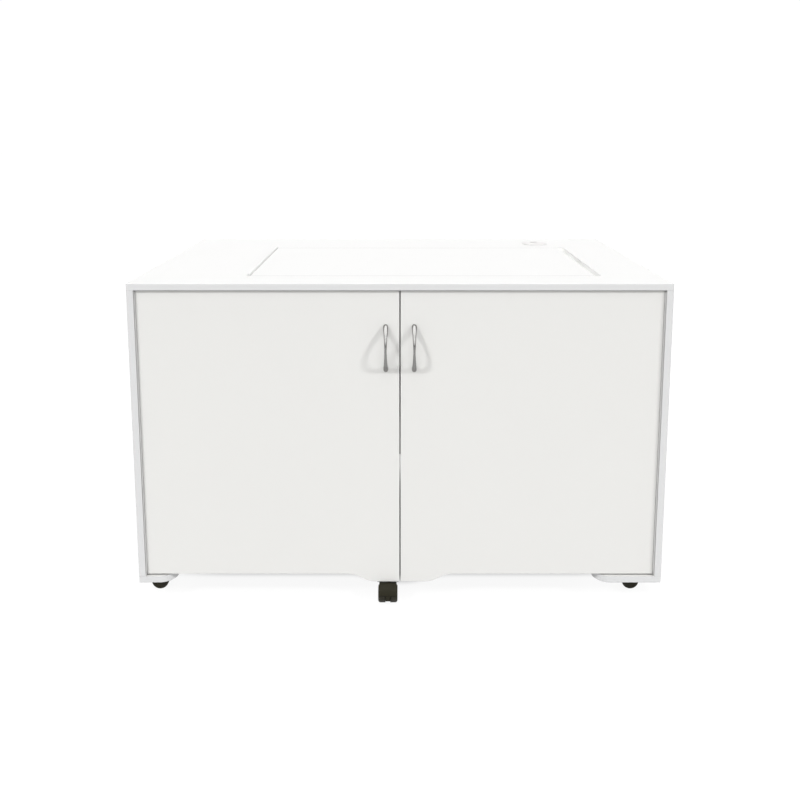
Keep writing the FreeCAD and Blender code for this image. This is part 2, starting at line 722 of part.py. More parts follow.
def caster_hood():
    """Hood of a caster: a fender over both wheels, a web between them and a boss on the swivel axis."""
    axle_point = Vector(-CASTER_TRAIL, 0, WHEEL_RADIUS)
    inner = WHEEL_RADIUS + HOOD_WHEEL_GAP
    outer = inner + HOOD_SHEET
    top = axle_point.z + outer

    def bar(radius, width):
        half = Vector(0, width / 2, 0)
        return rod(radius, axle_point - half, axle_point + half)

    cover_low = outer * math.cos(math.radians(HOOD_COVER_ANGLE))
    above = box(
        axle_point.x - outer,
        axle_point.x + outer,
        -HOOD_WIDTH,
        HOOD_WIDTH,
        axle_point.z + cover_low,
        top,
    )
    fender = bar(outer, HOOD_WIDTH).cut(bar(inner, HOOD_WIDTH)).common(above)
    web_room = box(
        axle_point.x - outer,
        axle_point.x + outer,
        -HOOD_WEB,
        HOOD_WEB,
        axle_point.z - HOOD_WEB_DROP,
        top,
    )
    web = bar(inner + HOOD_SHEET / 2, HOOD_WEB).common(web_room)
    boss = rod(KINGPIN_BOSS / 2, Vector(0, 0, top - KINGPIN_BOSS_HEIGHT), Vector(0, 0, top))
    boss = boss.cut(bar(inner, HOOD_WIDTH))
    socket_low = Vector(0, 0, CASTER_HEIGHT - CASTER_PLATE - KINGPIN_LENGTH - CASTER_SWIVEL_GAP)
    socket = rod(KINGPIN / 2 + RUNNING_CLEARANCE, socket_low, Vector(0, 0, top))
    axle_hole = bar(AXLE / 2 + RUNNING_CLEARANCE, HOOD_WEB)
    return joined(fender, web, boss).cut([socket, axle_hole])


def caster_wheels():
    """Twin wheels of a caster and their axle."""
    inner_face = HOOD_WEB / 2 + WHEEL_WEB_GAP
    outer_face = WHEEL_OUTER_WIDTH / 2
    bore = AXLE / 2 + RUNNING_CLEARANCE
    profile = [
        (inner_face, bore, 0.0),
        (inner_face, WHEEL_RADIUS, 0.0),
        (outer_face - WHEEL_SHOULDER, WHEEL_RADIUS, 0.0),
        (outer_face, WHEEL_RADIUS - WHEEL_SHOULDER, 0.0),
        (outer_face - WHEEL_DISH, WHEEL_HUB, 0.0),
        (outer_face - WHEEL_DISH, bore, 0.0),
    ]
    axle_point = Vector(-CASTER_TRAIL, 0, WHEEL_RADIUS)
    wire = outline(profile, lambda u, v: axle_point + Vector(0, u, v))
    wheel = Part.Face(wire).revolve(axle_point, Vector(0, 1, 0), 360)
    other_wheel = wheel.mirror(Vector(0, 0, 0), Vector(0, 1, 0))
    half_axle = Vector(0, outer_face - WHEEL_DISH, 0)
    axle = rod(AXLE / 2, axle_point - half_axle, axle_point + half_axle)
    return side_by_side(wheel, other_wheel, axle)


def base_caster_places():
    """Swivel axis and trailing direction (degrees about +Z) of each caster under the base boards."""
    x = HALF_WIDTH - CASTER_FROM_SIDE
    front = FRONT_Y + CASTER_FROM_FRONT
    back = BACK_Y - CASTER_FROM_FRONT
    return {
        "front_left": (Vector(-x, front, 0), 0.0),
        "front_right": (Vector(x, front, 0), 0.0),
        "rear_left": (Vector(-x, back, 0), 0.0),
        "rear_right": (Vector(x, back, 0), 0.0),
    }


def door_caster_place():
    """Swivel axis and trailing direction of the caster under the left door."""
    return Vector(-DOOR_EDGE - DOOR_CASTER_FROM_EDGE, DOOR_FRONT + BOARD / 2, 0), 90.0


def placed(shape, place):
    """Copy of a caster piece at its swivel axis, turned to its trailing direction."""
    point, angle = place
    return shape.transformed(FreeCAD.Placement(point, FreeCAD.Rotation(Vector(0, 0, 1), angle)).toMatrix())


def casters():
    """Every caster, keyed by node."""
    base_places = base_caster_places()
    door_place = door_caster_place()
    base_plate = caster_plate(CASTER_PLATE_SIDE, CASTER_PLATE_SIDE)
    plates = [placed(base_plate, place) for place in base_places.values()]
    door_point, _ = door_place
    nodes = {
        "base_caster_plates": side_by_side(*plates),
        "door_caster_plate": caster_plate(DOOR_PLATE_LENGTH, DOOR_PLATE_WIDTH).translated(door_point),
    }
    hood = caster_hood()
    wheels = caster_wheels()
    for name, place in {**base_places, "door": door_place}.items():
        nodes["caster_hood_" + name] = placed(hood, place)
        nodes["caster_wheels_" + name] = placed(wheels, place)
    return nodes


def door_pieces():
    """Both doors with their hinges, handles, catches and strikes, keyed by node."""
    side_leaf, door_leaf, hinge_pin = door_hinge()
    catch, strike = catch_and_strike()
    left = {
        "door": door(),
        "door_hinge_side_leaf": side_leaf,
        "door_hinge_door_leaf": door_leaf,
        "door_hinge_pin": hinge_pin,
        "handle": bow_handle(),
        "catch": catch,
        "strike": strike,
    }
    nodes = {}
    for name, shape in left.items():
        nodes["left_" + name] = shape
        nodes["right_" + name] = mirrored(shape)
    return nodes


def lift_pieces():
    """Partitions and lift, keyed by node."""
    nodes = {"platform_board": platform_board()}
    for name, well_edge, side in (("left", WELL_LEFT, -1), ("right", WELL_RIGHT, 1)):
        for piece, shape in lift_side(well_edge, side).items():
            nodes[name + "_" + piece] = shape
    right_spring = nodes["right_spring_rod"].BoundBox.Center
    nodes["release_head"], nodes["release_lever"] = release_lever(right_spring.x)
    return nodes


def carcass_pieces():
    """Boards of the carcass, the lid with its hinge and ledges, and the cable cover, keyed by node."""
    top_leaf, lid_leaf, lid_pin = lid_hinge()
    return {
        "top_panel": top_panel(),
        "left_side_panel": side_panel(),
        "right_side_panel": mirrored(side_panel()),
        "left_base_board": base_board(LEFT_BASE_WIDTH),
        "right_base_board": mirrored(base_board(RIGHT_BASE_WIDTH)),
        "back_panel": back_panel(),
        "lid_panel": lid_panel(),
        "lid_hinge_top_leaf": top_leaf,
        "lid_hinge_lid_leaf": lid_leaf,
        "lid_hinge_pin": lid_pin,
        **lid_ledges(),
        "grommet_ring": grommet_ring(),
        "grommet_cap": grommet_cap(),
    }


def main():
    """Build every piece and write one file for each."""
    os.makedirs("parts", exist_ok=True)
    for node, shape in {**carcass_pieces(), **door_pieces(), **lift_pieces(), **casters()}.items():
        shape.exportStep("parts/" + node + ".step")


main()
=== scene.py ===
"""Finishes, detailed fittings and a plain studio for a white sewing cabinet."""
import json
import math
from collections import defaultdict

import bmesh
import bpy
from bpy.props import FloatProperty, FloatVectorProperty, IntProperty, PointerProperty
from mathutils import Matrix, Vector


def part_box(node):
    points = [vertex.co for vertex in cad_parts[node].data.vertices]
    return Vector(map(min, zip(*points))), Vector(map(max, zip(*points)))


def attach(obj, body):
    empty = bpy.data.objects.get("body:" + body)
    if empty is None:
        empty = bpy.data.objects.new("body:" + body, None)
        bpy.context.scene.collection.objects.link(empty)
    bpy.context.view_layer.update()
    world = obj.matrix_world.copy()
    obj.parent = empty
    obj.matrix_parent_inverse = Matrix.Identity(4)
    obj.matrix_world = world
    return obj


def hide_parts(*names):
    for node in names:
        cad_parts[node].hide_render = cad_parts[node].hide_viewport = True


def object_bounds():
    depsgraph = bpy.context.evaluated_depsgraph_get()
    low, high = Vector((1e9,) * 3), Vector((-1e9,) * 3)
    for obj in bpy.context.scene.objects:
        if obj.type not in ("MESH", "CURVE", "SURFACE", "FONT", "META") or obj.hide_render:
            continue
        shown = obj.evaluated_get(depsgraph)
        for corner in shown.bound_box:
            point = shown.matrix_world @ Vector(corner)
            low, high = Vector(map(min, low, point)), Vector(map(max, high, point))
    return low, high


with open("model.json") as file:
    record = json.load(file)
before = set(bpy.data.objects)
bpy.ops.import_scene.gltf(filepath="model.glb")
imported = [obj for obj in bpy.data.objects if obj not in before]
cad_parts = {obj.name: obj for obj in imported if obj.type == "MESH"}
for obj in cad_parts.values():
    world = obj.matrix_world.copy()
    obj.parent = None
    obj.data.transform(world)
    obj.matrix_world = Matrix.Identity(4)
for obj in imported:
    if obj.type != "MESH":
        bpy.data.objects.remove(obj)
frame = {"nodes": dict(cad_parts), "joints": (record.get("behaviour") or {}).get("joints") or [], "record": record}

bl_info = {
    "name": "Sewing Cabinet",
    "version": (1, 0, 0),
    "blender": (4, 5, 0),
    "location": "View3D > Sidebar > Cabinet",
    "description": "Finishes the boards and fittings of a sewing cabinet and sets up a plain studio",
    "category": "Object",
}

CAD_BOX = [list(corner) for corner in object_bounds()]
MM = 0.001
SIDES = {"left": -1, "right": 1}
CASTERS = ("door", "front_left", "front_right", "rear_left", "rear_right")
JOINTS = {joint["name"]: joint for joint in frame["joints"]}
SLOTS = {part["node"]: part["material_slot"] for part in frame["record"]["subparts"]}
BODIES = {
    node: body
    for body, nodes in frame["record"]["behaviour"]["bodies"].items()
    for node in nodes
}
BOARDS_ACROSS = {
    "X": ("left_side_panel", "right_side_panel", "left_partition", "right_partition"),
    "Y": ("left_door", "right_door", "back_panel"),
    "Z": ("platform_board", "left_base_board", "right_base_board"),
}
LEDGES = ("lid_ledge_front", "lid_ledge_back", "lid_ledge_right")

# Places of the screws on what they hold
HANDLE_SCREW_SPREAD = 48 * MM
STRIKE_SCREW_SPREAD = 11 * MM
STRIKE_SCREW_HEIGHT = 4.5 * MM
DOOR_LEAF_MARGIN = 50 * MM
DOOR_LEAF_SCREW_INSET = 6 * MM
CATCH_SCREW_SPREAD = 17 * MM
CATCH_SCREW_INSET = 6 * MM
SPRING_FOOT_SCREW_SPREAD = 13 * MM
SPRING_FOOT_SCREW_DROP = 14 * MM
BRACKET_SHEET = 3 * MM
PLATFORM_SCREW_INSET = 40 * MM
PLATFORM_SCREW_MARGIN = 30 * MM
RUNNER_SCREW_RISE = 14 * MM
RUNNER_SCREW_DROP = 20 * MM
LID_LEAF_MARGIN = 40 * MM
LID_LEAF_SCREW_FACE = 3.5 * MM
LID_LEAF_SCREW_HEIGHT = 5.5 * MM

# What properties of a kind have in common
COLOUR = {"subtype": "COLOR", "size": 3, "min": 0, "max": 1}
LENGTH = {"unit": "LENGTH", "min": 0}
SHARE = {"subtype": "FACTOR", "min": 0, "max": 1}


class Value:
    """What a socket gives, which varies over a surface. On numbers, its operators add Math nodes."""

    def __init__(self, finish, socket):
        self.finish = finish
        self.socket = socket

    def __add__(self, other):
        return self.finish.math("ADD", self, other)

    __radd__ = __add__

    def __sub__(self, other):
        return self.finish.math("SUBTRACT", self, other)

    def __rsub__(self, other):
        return self.finish.math("SUBTRACT", other, self)

    def __mul__(self, other):
        return self.finish.math("MULTIPLY", self, other)

    __rmul__ = __mul__

    def __abs__(self):
        return self.finish.math("ABSOLUTE", self)

    def below(self, limit):
        """1 where the number is under a limit, else 0."""
        return self.finish.math("LESS_THAN", self, limit)

    def least(self, other):
        """The smaller of two numbers."""
        return self.finish.math("MINIMUM", self, other)


class Nodes:
    """A node tree and the ways to add to it."""

    def __init__(self, tree):
        self.tree = tree

    def node(self, kind, settings, sockets, output=0):
        """Adds a node: its settings first, then the values or links of its sockets."""
        made = self.tree.nodes.new(kind)
        for name, value in settings.items():
            if name == "stops":
                for element, (place, shade) in zip(made.color_ramp.elements, value):
                    element.position = place
                    element.color = (shade, shade, shade, 1)
            else:
                setattr(made, name, value)
        for key, value in sockets.items():
            self.feed(made.inputs[key], value)
        return Value(self, made.outputs[output])

    def feed(self, socket, value):
        """Links a varying value to a socket, or sets a plain one on it."""
        if isinstance(value, Value):
            self.tree.links.new(value.socket, socket)
        else:
            socket.default_value = value

    def math(self, operation, *values):
        """One Math node."""
        return self.node("ShaderNodeMath", {"operation": operation}, dict(enumerate(values)))

    def place(self, kind="Object"):
        """Texture coordinates of a kind."""
        return self.node("ShaderNodeTexCoord", {}, {}, kind)

    def part_of(self, vector, axis):
        """One part, "X", "Y" or "Z", of a vector."""
        return self.node("ShaderNodeSeparateXYZ", {}, {"Vector": vector}, axis)

    def stretched(self, vector, scale):
        """A vector scaled differently along each axis."""
        return self.node("ShaderNodeVectorMath", {"operation": "MULTIPLY"}, {0: vector, 1: scale})

    def noise(self, vector, scale, detail=2.0, roughness=0.5):
        """Soft random numbers from 0 to 1."""
        sockets = {"Vector": vector, "Scale": scale, "Detail": detail, "Roughness": roughness}
        return self.node("ShaderNodeTexNoise", {}, sockets)

    def blend(self, share, first, second):
        """A colour between two others."""
        return self.node("ShaderNodeMix", {"data_type": "RGBA"}, {0: share, 6: first, 7: second}, 2)

    def mottle(self, share, tint, times):
        """A tint that goes from its full strength to a multiple of it."""
        return self.blend(share, colour(tint), colour(tint, times))

    def ease(self, value, low, high):
        """0 below a low number, 1 above a high one, and a smooth way between them."""
        sockets = {"Value": value, "From Min": low, "From Max": high}
        return self.node("ShaderNodeMapRange", {"interpolation_type": "SMOOTHSTEP"}, sockets)


class Finish(Nodes):
    """A material with one Principled shader, whose constants are set on its own sockets."""

    def __init__(self, name, constants):
        if name in bpy.data.materials:
            raise RuntimeError(f"a material named {name} exists already")
        self.material = bpy.data.materials.new(name)
        self.material.use_nodes = True
        super().__init__(self.material.node_tree)
        self.shader = self.tree.nodes["Principled BSDF"]
        for socket, value in constants.items():
            self.shader.inputs[socket].default_value = value

    def shade(self, socket, value):
        """Feeds one of the shader's sockets."""
        self.feed(self.shader.inputs[socket], value)

    def relief(self, height, depth, strength, normal=None):
        """Feeds the normal from a height, whose full range is a depth in metres."""
        sockets = {"Height": height, "Distance": depth, "Strength": strength}
        if normal is not None:
            sockets["Normal"] = normal
        self.shade("Normal", self.node("ShaderNodeBump", {}, sockets))


def colour(value, times=1.0):
    """A property's colour as a shader takes it, with its strength changed."""
    return (value[0] * times, value[1] * times, value[2] * times, 1.0)


def grey(brightness):
    """A grey as a shader takes it."""
    return colour((brightness,) * 3)


def board_finish(props, name, axis, face_tint, edge_tint, painted_light_opening_tint=None):
    """White melamine faced board whose thickness runs along an axis, with plastic edging.
    The edges of openings inside its outline can have a lighter tint of their own: painted light that stands in for
    the light the shaded opening lacks."""
    finish = Finish(name, {"IOR": 1.48, "Coat Weight": 0.06, "Coat Roughness": 0.22})
    place = finish.place()
    spread = finish.place("Generated")
    edge = abs(finish.part_of(finish.place("Normal"), axis)).below(0.5)
    across = finish.part_of(spread, axis)
    joint = across.least(1 - across).below(props.joint_line) * edge
    clouds = finish.noise(place, 5.0, detail=3.0, roughness=0.55)
    pearl = finish.noise(place, 1 / props.pearl_size, roughness=0.6)
    ripple = finish.noise(place, 60.0, detail=1.0)
    face = finish.mottle(clouds, face_tint, 0.985)
    edging = finish.mottle(clouds, edge_tint, 0.985)
    # Painted light: edging inside openings takes a lighter tint so that the shaded opening looks lit.
    if painted_light_opening_tint is not None:
        first, second = (finish.part_of(spread, side) for side in "XYZ" if side != axis)
        from_outline = first.least(1 - first).least(second.least(1 - second))
        edging = finish.blend(from_outline.below(0.01), colour(painted_light_opening_tint), edging)
    body = finish.blend(edge, face, edging)
    seam = colour(edge_tint, 0.55)
    finish.shade("Base Color", finish.blend(joint, body, seam))
    finish.shade("Roughness", props.roughness + 0.08 * pearl - 0.06 * edge + 0.04 * clouds)
    rounded = finish.node("ShaderNodeBevel", {"samples": 4}, {"Radius": props.edge_round})
    finish.relief(pearl * (1 - 0.7 * edge) + 0.6 * ripple - joint, props.pearl_depth, 0.5, rounded)
    return finish.material


def brushed_finish(name, tint, roughness, along, constants=None):
    """Plated metal with fine brushing that runs along a direction."""
    finish = Finish(name, {"Metallic": 1.0, **(constants or {})})
    place = finish.place()
    lines = finish.noise(finish.stretched(place, along), 1.0, detail=4.0, roughness=0.65)
    clouds = finish.noise(place, 40.0)
    finish.shade("Base Color", finish.mottle(clouds, tint, 0.9))
    finish.shade("Roughness", roughness + 0.14 * (lines - 0.5) + 0.05 * clouds)
    finish.relief(lines, 0.03 * MM, 0.35)
    return finish.material


def zinc_finish(props):
    """Clear zinc plate with faint crystals and a cloudy passivation."""
    finish = Finish("zinc_plate", {"Metallic": 1.0})
    place = finish.place()
    crystals = finish.node("ShaderNodeTexVoronoi", {}, {"Vector": place, "Scale": 160.0}, "Distance")
    clouds = finish.noise(place, 22.0, detail=4.0, roughness=0.6)
    tint = props.zinc_colour
    warm = (tint[0], tint[1] * 0.97, tint[2] * 0.86)
    finish.shade("Base Color", finish.blend(clouds, colour(tint), colour(warm)))
    finish.shade("Roughness", 0.3 + 0.16 * clouds + 0.1 * crystals)
    finish.relief(crystals + clouds, 0.04 * MM, 0.3)
    return finish.material


def chrome_finish(props):
    """Ground and polished hard chrome."""
    finish = Finish("ground_chrome", {"Metallic": 1.0})
    rings = finish.noise(finish.stretched(finish.place(), (30.0, 30.0, 4000.0)), 1.0)
    finish.shade("Base Color", finish.mottle(rings, props.chrome_colour, 0.94))
    finish.shade("Roughness", 0.05 + 0.06 * rings)
    finish.relief(rings, 0.005 * MM, 0.3)
    return finish.material


def die_cast_finish(props):
    """Tumbled die casting with a fine pebble skin."""
    finish = Finish("die_casting", {"Metallic": 1.0})
    place = finish.place()
    pebbles = finish.noise(place, 900.0, detail=3.0, roughness=0.6)
    clouds = finish.noise(place, 60.0, detail=3.0)
    finish.shade("Base Color", finish.mottle(clouds, props.die_cast_colour, 0.85))
    finish.shade("Roughness", 0.42 + 0.18 * pebbles)
    finish.relief(pebbles, 0.12 * MM, 0.5)
    return finish.material


def enamel_finish(props):
    """Black stove enamel with a slight orange peel."""
    finish = Finish("stove_enamel", {"Coat Weight": 0.5, "Coat Roughness": 0.12, "IOR": 1.5})
    place = finish.place()
    peel = finish.noise(place, 420.0, detail=1.0)
    dust = finish.noise(place, 35.0, detail=5.0, roughness=0.7)
    finish.shade("Base Color", finish.mottle(dust, props.enamel_colour, 1.7))
    finish.shade("Roughness", 0.3 + 0.14 * dust)
    finish.relief(peel, 0.06 * MM, 0.5)
    return finish.material


def moulded_finish(name, tint, grain_size, roughness, constants=None):
    """Moulded plastic with a fine spark-eroded grain."""
    finish = Finish(name, {"IOR": 1.46, **(constants or {})})
    place = finish.place()
    grain = finish.noise(place, 1 / grain_size, detail=3.0, roughness=0.7)
    flow = finish.noise(place, 18.0, detail=3.0)
    finish.shade("Base Color", finish.mottle(flow, tint, 0.93))
    finish.shade("Roughness", roughness + 0.1 * grain + 0.06 * flow)
    finish.relief(grain, 0.08 * MM, 0.5)
    return finish.material


def tread_finish(props):
    """Black wheel nylon, dulled by floor dust and scuffs."""
    finish = Finish("wheel_nylon", {"IOR": 1.5, "Specular IOR Level": 0.14})
    place = finish.place()
    dust = finish.noise(place, 55.0, detail=5.0, roughness=0.7)
    scuffs = finish.noise(finish.stretched(place, (700.0, 60.0, 700.0)), 1.0, detail=3.0, roughness=0.6)
    grain = finish.noise(place, 1500.0)
    dusty = finish.node("ShaderNodeValToRGB", {"stops": ((0.42, 0.0), (0.8, 0.55))}, {"Fac": dust})
    finish.shade("Base Color", finish.blend(dusty, colour(props.wheel_colour), colour(props.dust_colour)))
    finish.shade("Roughness", 0.3 + 0.2 * dust + 0.15 * scuffs)
    finish.relief(scuffs + 0.3 * grain, 0.08 * MM, 0.4)
    return finish.material


def paint(finish, *nodes):
    """Gives carried-over nodes a finish."""
    for node in nodes:
        mesh = frame["nodes"][node].data
        mesh.materials.clear()
        mesh.materials.append(finish)


def material(name):
    """A finish made by an earlier step."""
    found = bpy.data.materials.get(name)
    if found is None:
        raise RuntimeError(f"the finish {name} is made by the finishes step, which comes first")
    return found


def piece(name, mesh_maker, finish, body, replaced=(), slot=None, crease=35.0):
    """Makes an object from a mesh, gives it a finish and lets it ride on a body."""
    work = bmesh.new()
    mesh_maker(work)
    bmesh.ops.recalc_face_normals(work, faces=work.faces)
    mesh = bpy.data.meshes.new(name)
    work.to_mesh(mesh)
    work.free()
    mesh.polygons.foreach_set("use_smooth", [True] * len(mesh.polygons))
    mesh.set_sharp_from_angle(angle=math.radians(crease))
    mesh.materials.append(finish)
    made = bpy.data.objects.new(name, mesh)
    bpy.context.scene.collection.objects.link(made)
    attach(made, body)
    if replaced:
        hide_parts(*replaced)
    slot or SLOTS[replaced[0]]


def axes_of(along):
    """A rotation whose Z axis lies along a direction."""
    return Vector(along).to_track_quat("Z", "Y").to_matrix().to_4x4()


def middle_of(node):
    """The middle of a CAD node's box."""
    low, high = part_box(node)
    return (low + high) / 2


def upright_axis(node, height=0.0):
    """A placement on the upright line through a CAD node's middle, at a height."""
    middle = middle_of(node)
    return Matrix.Translation((middle.x, middle.y, height))


def skin(work, rings):
    """Faces from each ring of points to the next. A ring may be one point, many times."""
    count = len(rings[0])
    for low, high in zip(rings, rings[1:]):
        for step in range(count):
            after = (step + 1) % count
            corners = list(dict.fromkeys([low[step], low[after], high[after], high[step]]))
            if len(corners) > 2:
                work.faces.new(corners)


def lathe(work, profile, place, steps=32, closed=False):
    """Turns a profile of (along, radius) about the Z axis of a placement."""
    rings = []
    for along, radius in profile:
        if radius < 1e-7:
            rings.append([work.verts.new(place @ Vector((0, 0, along)))] * steps)
            continue
        ring = []
        for step in range(steps):
            angle = 2 * math.pi * step / steps
            point = Vector((radius * math.cos(angle), radius * math.sin(angle), along))
            ring.append(work.verts.new(place @ point))
        rings.append(ring)
    if closed:
        rings.append(rings[0])
    skin(work, rings)


def block(work, low, high, place, rounding=0.0, segments=2):
    """A block between two corners of a placement, with rounded edges."""
    made = bmesh.ops.create_cube(work, size=1.0)["verts"]
    low, high = Vector(low), Vector(high)
    stretch = Matrix.Diagonal((*(high - low), 1.0))
    bmesh.ops.transform(work, verts=made, matrix=place @ Matrix.Translation((low + high) / 2) @ stretch)
    if rounding > 0:
        edges = list(dict.fromkeys(edge for vert in made for edge in vert.link_edges))
        bmesh.ops.bevel(work, geom=edges, offset=rounding, segments=segments, affect="EDGES", profile=0.5)


def arc(centre, radii, start, end, steps):
    """Points of an elliptical arc, as (along, radius) of a lathe's profile."""
    points = []
    for step in range(steps + 1):
        angle = math.radians(start + (end - start) * step / steps)
        points.append((centre[0] + radii[0] * math.cos(angle), centre[1] + radii[1] * math.sin(angle)))
    return points


class BoardSettings(bpy.types.PropertyGroup):
    """Finish of the boards."""

    face_colour: FloatVectorProperty(
        name="Face colour", description="White of the board faces", default=(0.572, 0.569, 0.554), **COLOUR
    )
    edging_colour: FloatVectorProperty(
        name="Edging colour", description="White of the plastic edging",
        default=(0.515, 0.516, 0.518), **COLOUR
    )
    top_colour: FloatVectorProperty(
        name="Top colour", description="White of the top and the lid", default=(0.572, 0.571, 0.567), **COLOUR
    )
    # Painted light: far lighter than the edging, to stand in for light that does not reach inside the opening.
    painted_light_opening_colour: FloatVectorProperty(
        name="Opening colour", description="White of the edging inside the top's opening",
        default=(0.82, 0.815, 0.8), **COLOUR
    )
    # Painted light: the ledges are far whiter than the other boards, so that the shaded gap beside the lid looks
    # lit.
    painted_light_ledge_colour: FloatVectorProperty(
        name="Ledge colour", description="White of the ledges under the lid",
        default=(0.9, 0.9, 0.89), **COLOUR
    )
    roughness: FloatProperty(
        name="Roughness", description="Roughness of the board faces", default=0.42, **SHARE
    )
    pearl_size: FloatProperty(
        name="Pearl size", description="Size of the fine pearl structure", default=1.1 * MM,
        unit="LENGTH", min=0.1 * MM,
    )
    pearl_depth: FloatProperty(
        name="Pearl depth", description="Depth of the fine pearl structure", default=0.06 * MM, **LENGTH
    )
    edge_round: FloatProperty(
        name="Edge rounding", description="Radius that the board edges seem to have",
        default=0.9 * MM, **LENGTH
    )
    joint_line: FloatProperty(
        name="Joint line", description="Share of the thickness taken by the line along the edging",
        default=0.02, **SHARE
    )


class MetalSettings(bpy.types.PropertyGroup):
    """Finish of the metal fittings."""

    nickel_colour: FloatVectorProperty(
        name="Satin nickel", description="Colour of the handles", default=(0.262, 0.26, 0.254), **COLOUR
    )
    hinge_colour: FloatVectorProperty(
        name="Hinge steel", description="Colour of the door hinges", default=(0.62, 0.62, 0.615), **COLOUR
    )
    lid_hinge_colour: FloatVectorProperty(
        name="Lid hinge", description="Colour of the lid hinge's lacquer",
        default=(0.66, 0.66, 0.654), **COLOUR
    )
    zinc_colour: FloatVectorProperty(
        name="Zinc plate", description="Colour of the rails, brackets and plates",
        default=(0.58, 0.6, 0.62), **COLOUR
    )
    chrome_colour: FloatVectorProperty(
        name="Hard chrome", description="Colour of the spring rods", default=(0.75, 0.76, 0.78), **COLOUR
    )
    die_cast_colour: FloatVectorProperty(
        name="Die casting", description="Colour of the release head", default=(0.5, 0.51, 0.52), **COLOUR
    )
    enamel_colour: FloatVectorProperty(
        name="Black enamel", description="Colour of the spring cylinders and the lever",
        default=(0.016, 0.016, 0.017), **COLOUR
    )


class PlasticSettings(bpy.types.PropertyGroup):
    """Finish of the plastic fittings."""

    cover_colour: FloatVectorProperty(
        name="Cable cover", description="Colour of the cable cover", default=(0.55, 0.54, 0.536), **COLOUR
    )
    catch_colour: FloatVectorProperty(
        name="Catches", description="Colour of the catch bodies", default=(0.82, 0.82, 0.81), **COLOUR
    )
    runner_colour: FloatVectorProperty(
        name="Runners", description="Colour of the nylon runners", default=(0.75, 0.73, 0.66), **COLOUR
    )
    hood_colour: FloatVectorProperty(
        name="Caster hoods", description="Colour of the caster hoods",
        default=(0.017, 0.0155, 0.009), **COLOUR
    )
    wheel_colour: FloatVectorProperty(
        name="Caster wheels", description="Colour of the caster wheels",
        default=(0.017, 0.0155, 0.009), **COLOUR
    )
    dust_colour: FloatVectorProperty(
        name="Wheel dust", description="Colour of the dust on the wheels",
        default=(0.05, 0.048, 0.042), **COLOUR
    )
    grain_size: FloatProperty(
        name="Grain size", description="Size of the moulded grain",
        default=0.6 * MM, unit="LENGTH", min=0.1 * MM,
    )


class CasterSettings(bpy.types.PropertyGroup):
    """Sizes of the caster wheels' details."""

    wheel_gap: FloatProperty(
        name="Wheel gap", description="Space between the twin wheels", default=11.3 * MM, **LENGTH
    )
    shoulder: FloatProperty(
        name="Shoulder", description="Rounding of the tread towards the outer face",
        default=5.5 * MM, **LENGTH
    )
    rim: FloatProperty(
        name="Rim", description="Width of the flat rim of the outer face", default=1.6 * MM, **LENGTH
    )
    dish: FloatProperty(name="Dish", description="Depth of the dished outer face", default=1.6 * MM, **LENGTH)
    hub: FloatProperty(name="Hub", description="Radius of the hub cap", default=6.2 * MM, **LENGTH)
    axle: FloatProperty(name="Axle", description="Diameter of the axle", default=6.0 * MM, **LENGTH)
    guard_gap: FloatProperty(
        name="Guard gap", description="Space between the thread guard and the floor",
        default=0.8 * MM, **LENGTH
    )


class HandleSettings(bpy.types.PropertyGroup):
    """Sizes of the bow handles."""

    span: FloatProperty(
        name="Span", description="Distance between the middles of a handle's feet",
        default=99.5 * MM, **LENGTH
    )
    waist_width: FloatProperty(
        name="Waist width", description="Width of a handle at its middle", default=5.3 * MM, **LENGTH
    )
    foot_width: FloatProperty(
        name="Foot width", description="Width of a handle at its feet", default=11.8 * MM, **LENGTH
    )
    waist_thickness: FloatProperty(
        name="Waist thickness", description="Thickness of a handle at its middle", default=4.8 * MM, **LENGTH
    )
    foot_thickness: FloatProperty(
        name="Foot thickness", description="Thickness of a handle at its feet", default=14 * MM, **LENGTH
    )
    flatness: FloatProperty(
        name="Flatness", description="2 for a round waist, more for a flatter face", default=7.0, min=2,
    )
    foot_flatness: FloatProperty(
        name="Foot flatness", description="2 for round feet, more for flatter ones", default=2.4, min=2,
    )


class HingeSettings(bpy.types.PropertyGroup):
    """Sizes of the continuous hinges' details."""

    lid_knuckles: IntProperty(
        name="Lid knuckles", description="Knuckles along the lid hinge, an odd number", default=17, min=3,
    )
    door_knuckles: IntProperty(
        name="Door knuckles", description="Knuckles along a door hinge, an odd number", default=27, min=3,
    )
    lid_sheet: FloatProperty(
        name="Lid sheet", description="Thickness of the lid hinge's leaves", default=1.5 * MM, **LENGTH
    )
    door_sheet: FloatProperty(
        name="Door sheet", description="Thickness of a door hinge's leaves", default=0.8 * MM, **LENGTH
    )
    knuckle_gap: FloatProperty(
        name="Knuckle gap", description="Gap between knuckles", default=0.4 * MM, **LENGTH
    )
    end_plug: FloatProperty(
        name="End plug", description="How far a hinge's end plugs pass its leaves", default=5.6 * MM, **LENGTH
    )
    screw_pitch: FloatProperty(
        name="Screw pitch", description="Distance between the screws of a leaf", default=75 * MM, **LENGTH
    )


class FastenerSettings(bpy.types.PropertyGroup):
    """Sizes of the screws."""

    pan_head: FloatProperty(
        name="Pan head", description="Diameter of the pan heads", default=8.0 * MM, **LENGTH
    )
    pan_rise: FloatProperty(
        name="Pan rise", description="Height of the pan heads", default=2.3 * MM, **LENGTH
    )
    flat_head: FloatProperty(
        name="Flat head", description="Diameter of the countersunk heads", default=7.0 * MM, **LENGTH
    )
    recess: FloatProperty(
        name="Recess", description="Width of the cross recess, as a share of the head", default=0.56, **SHARE
    )


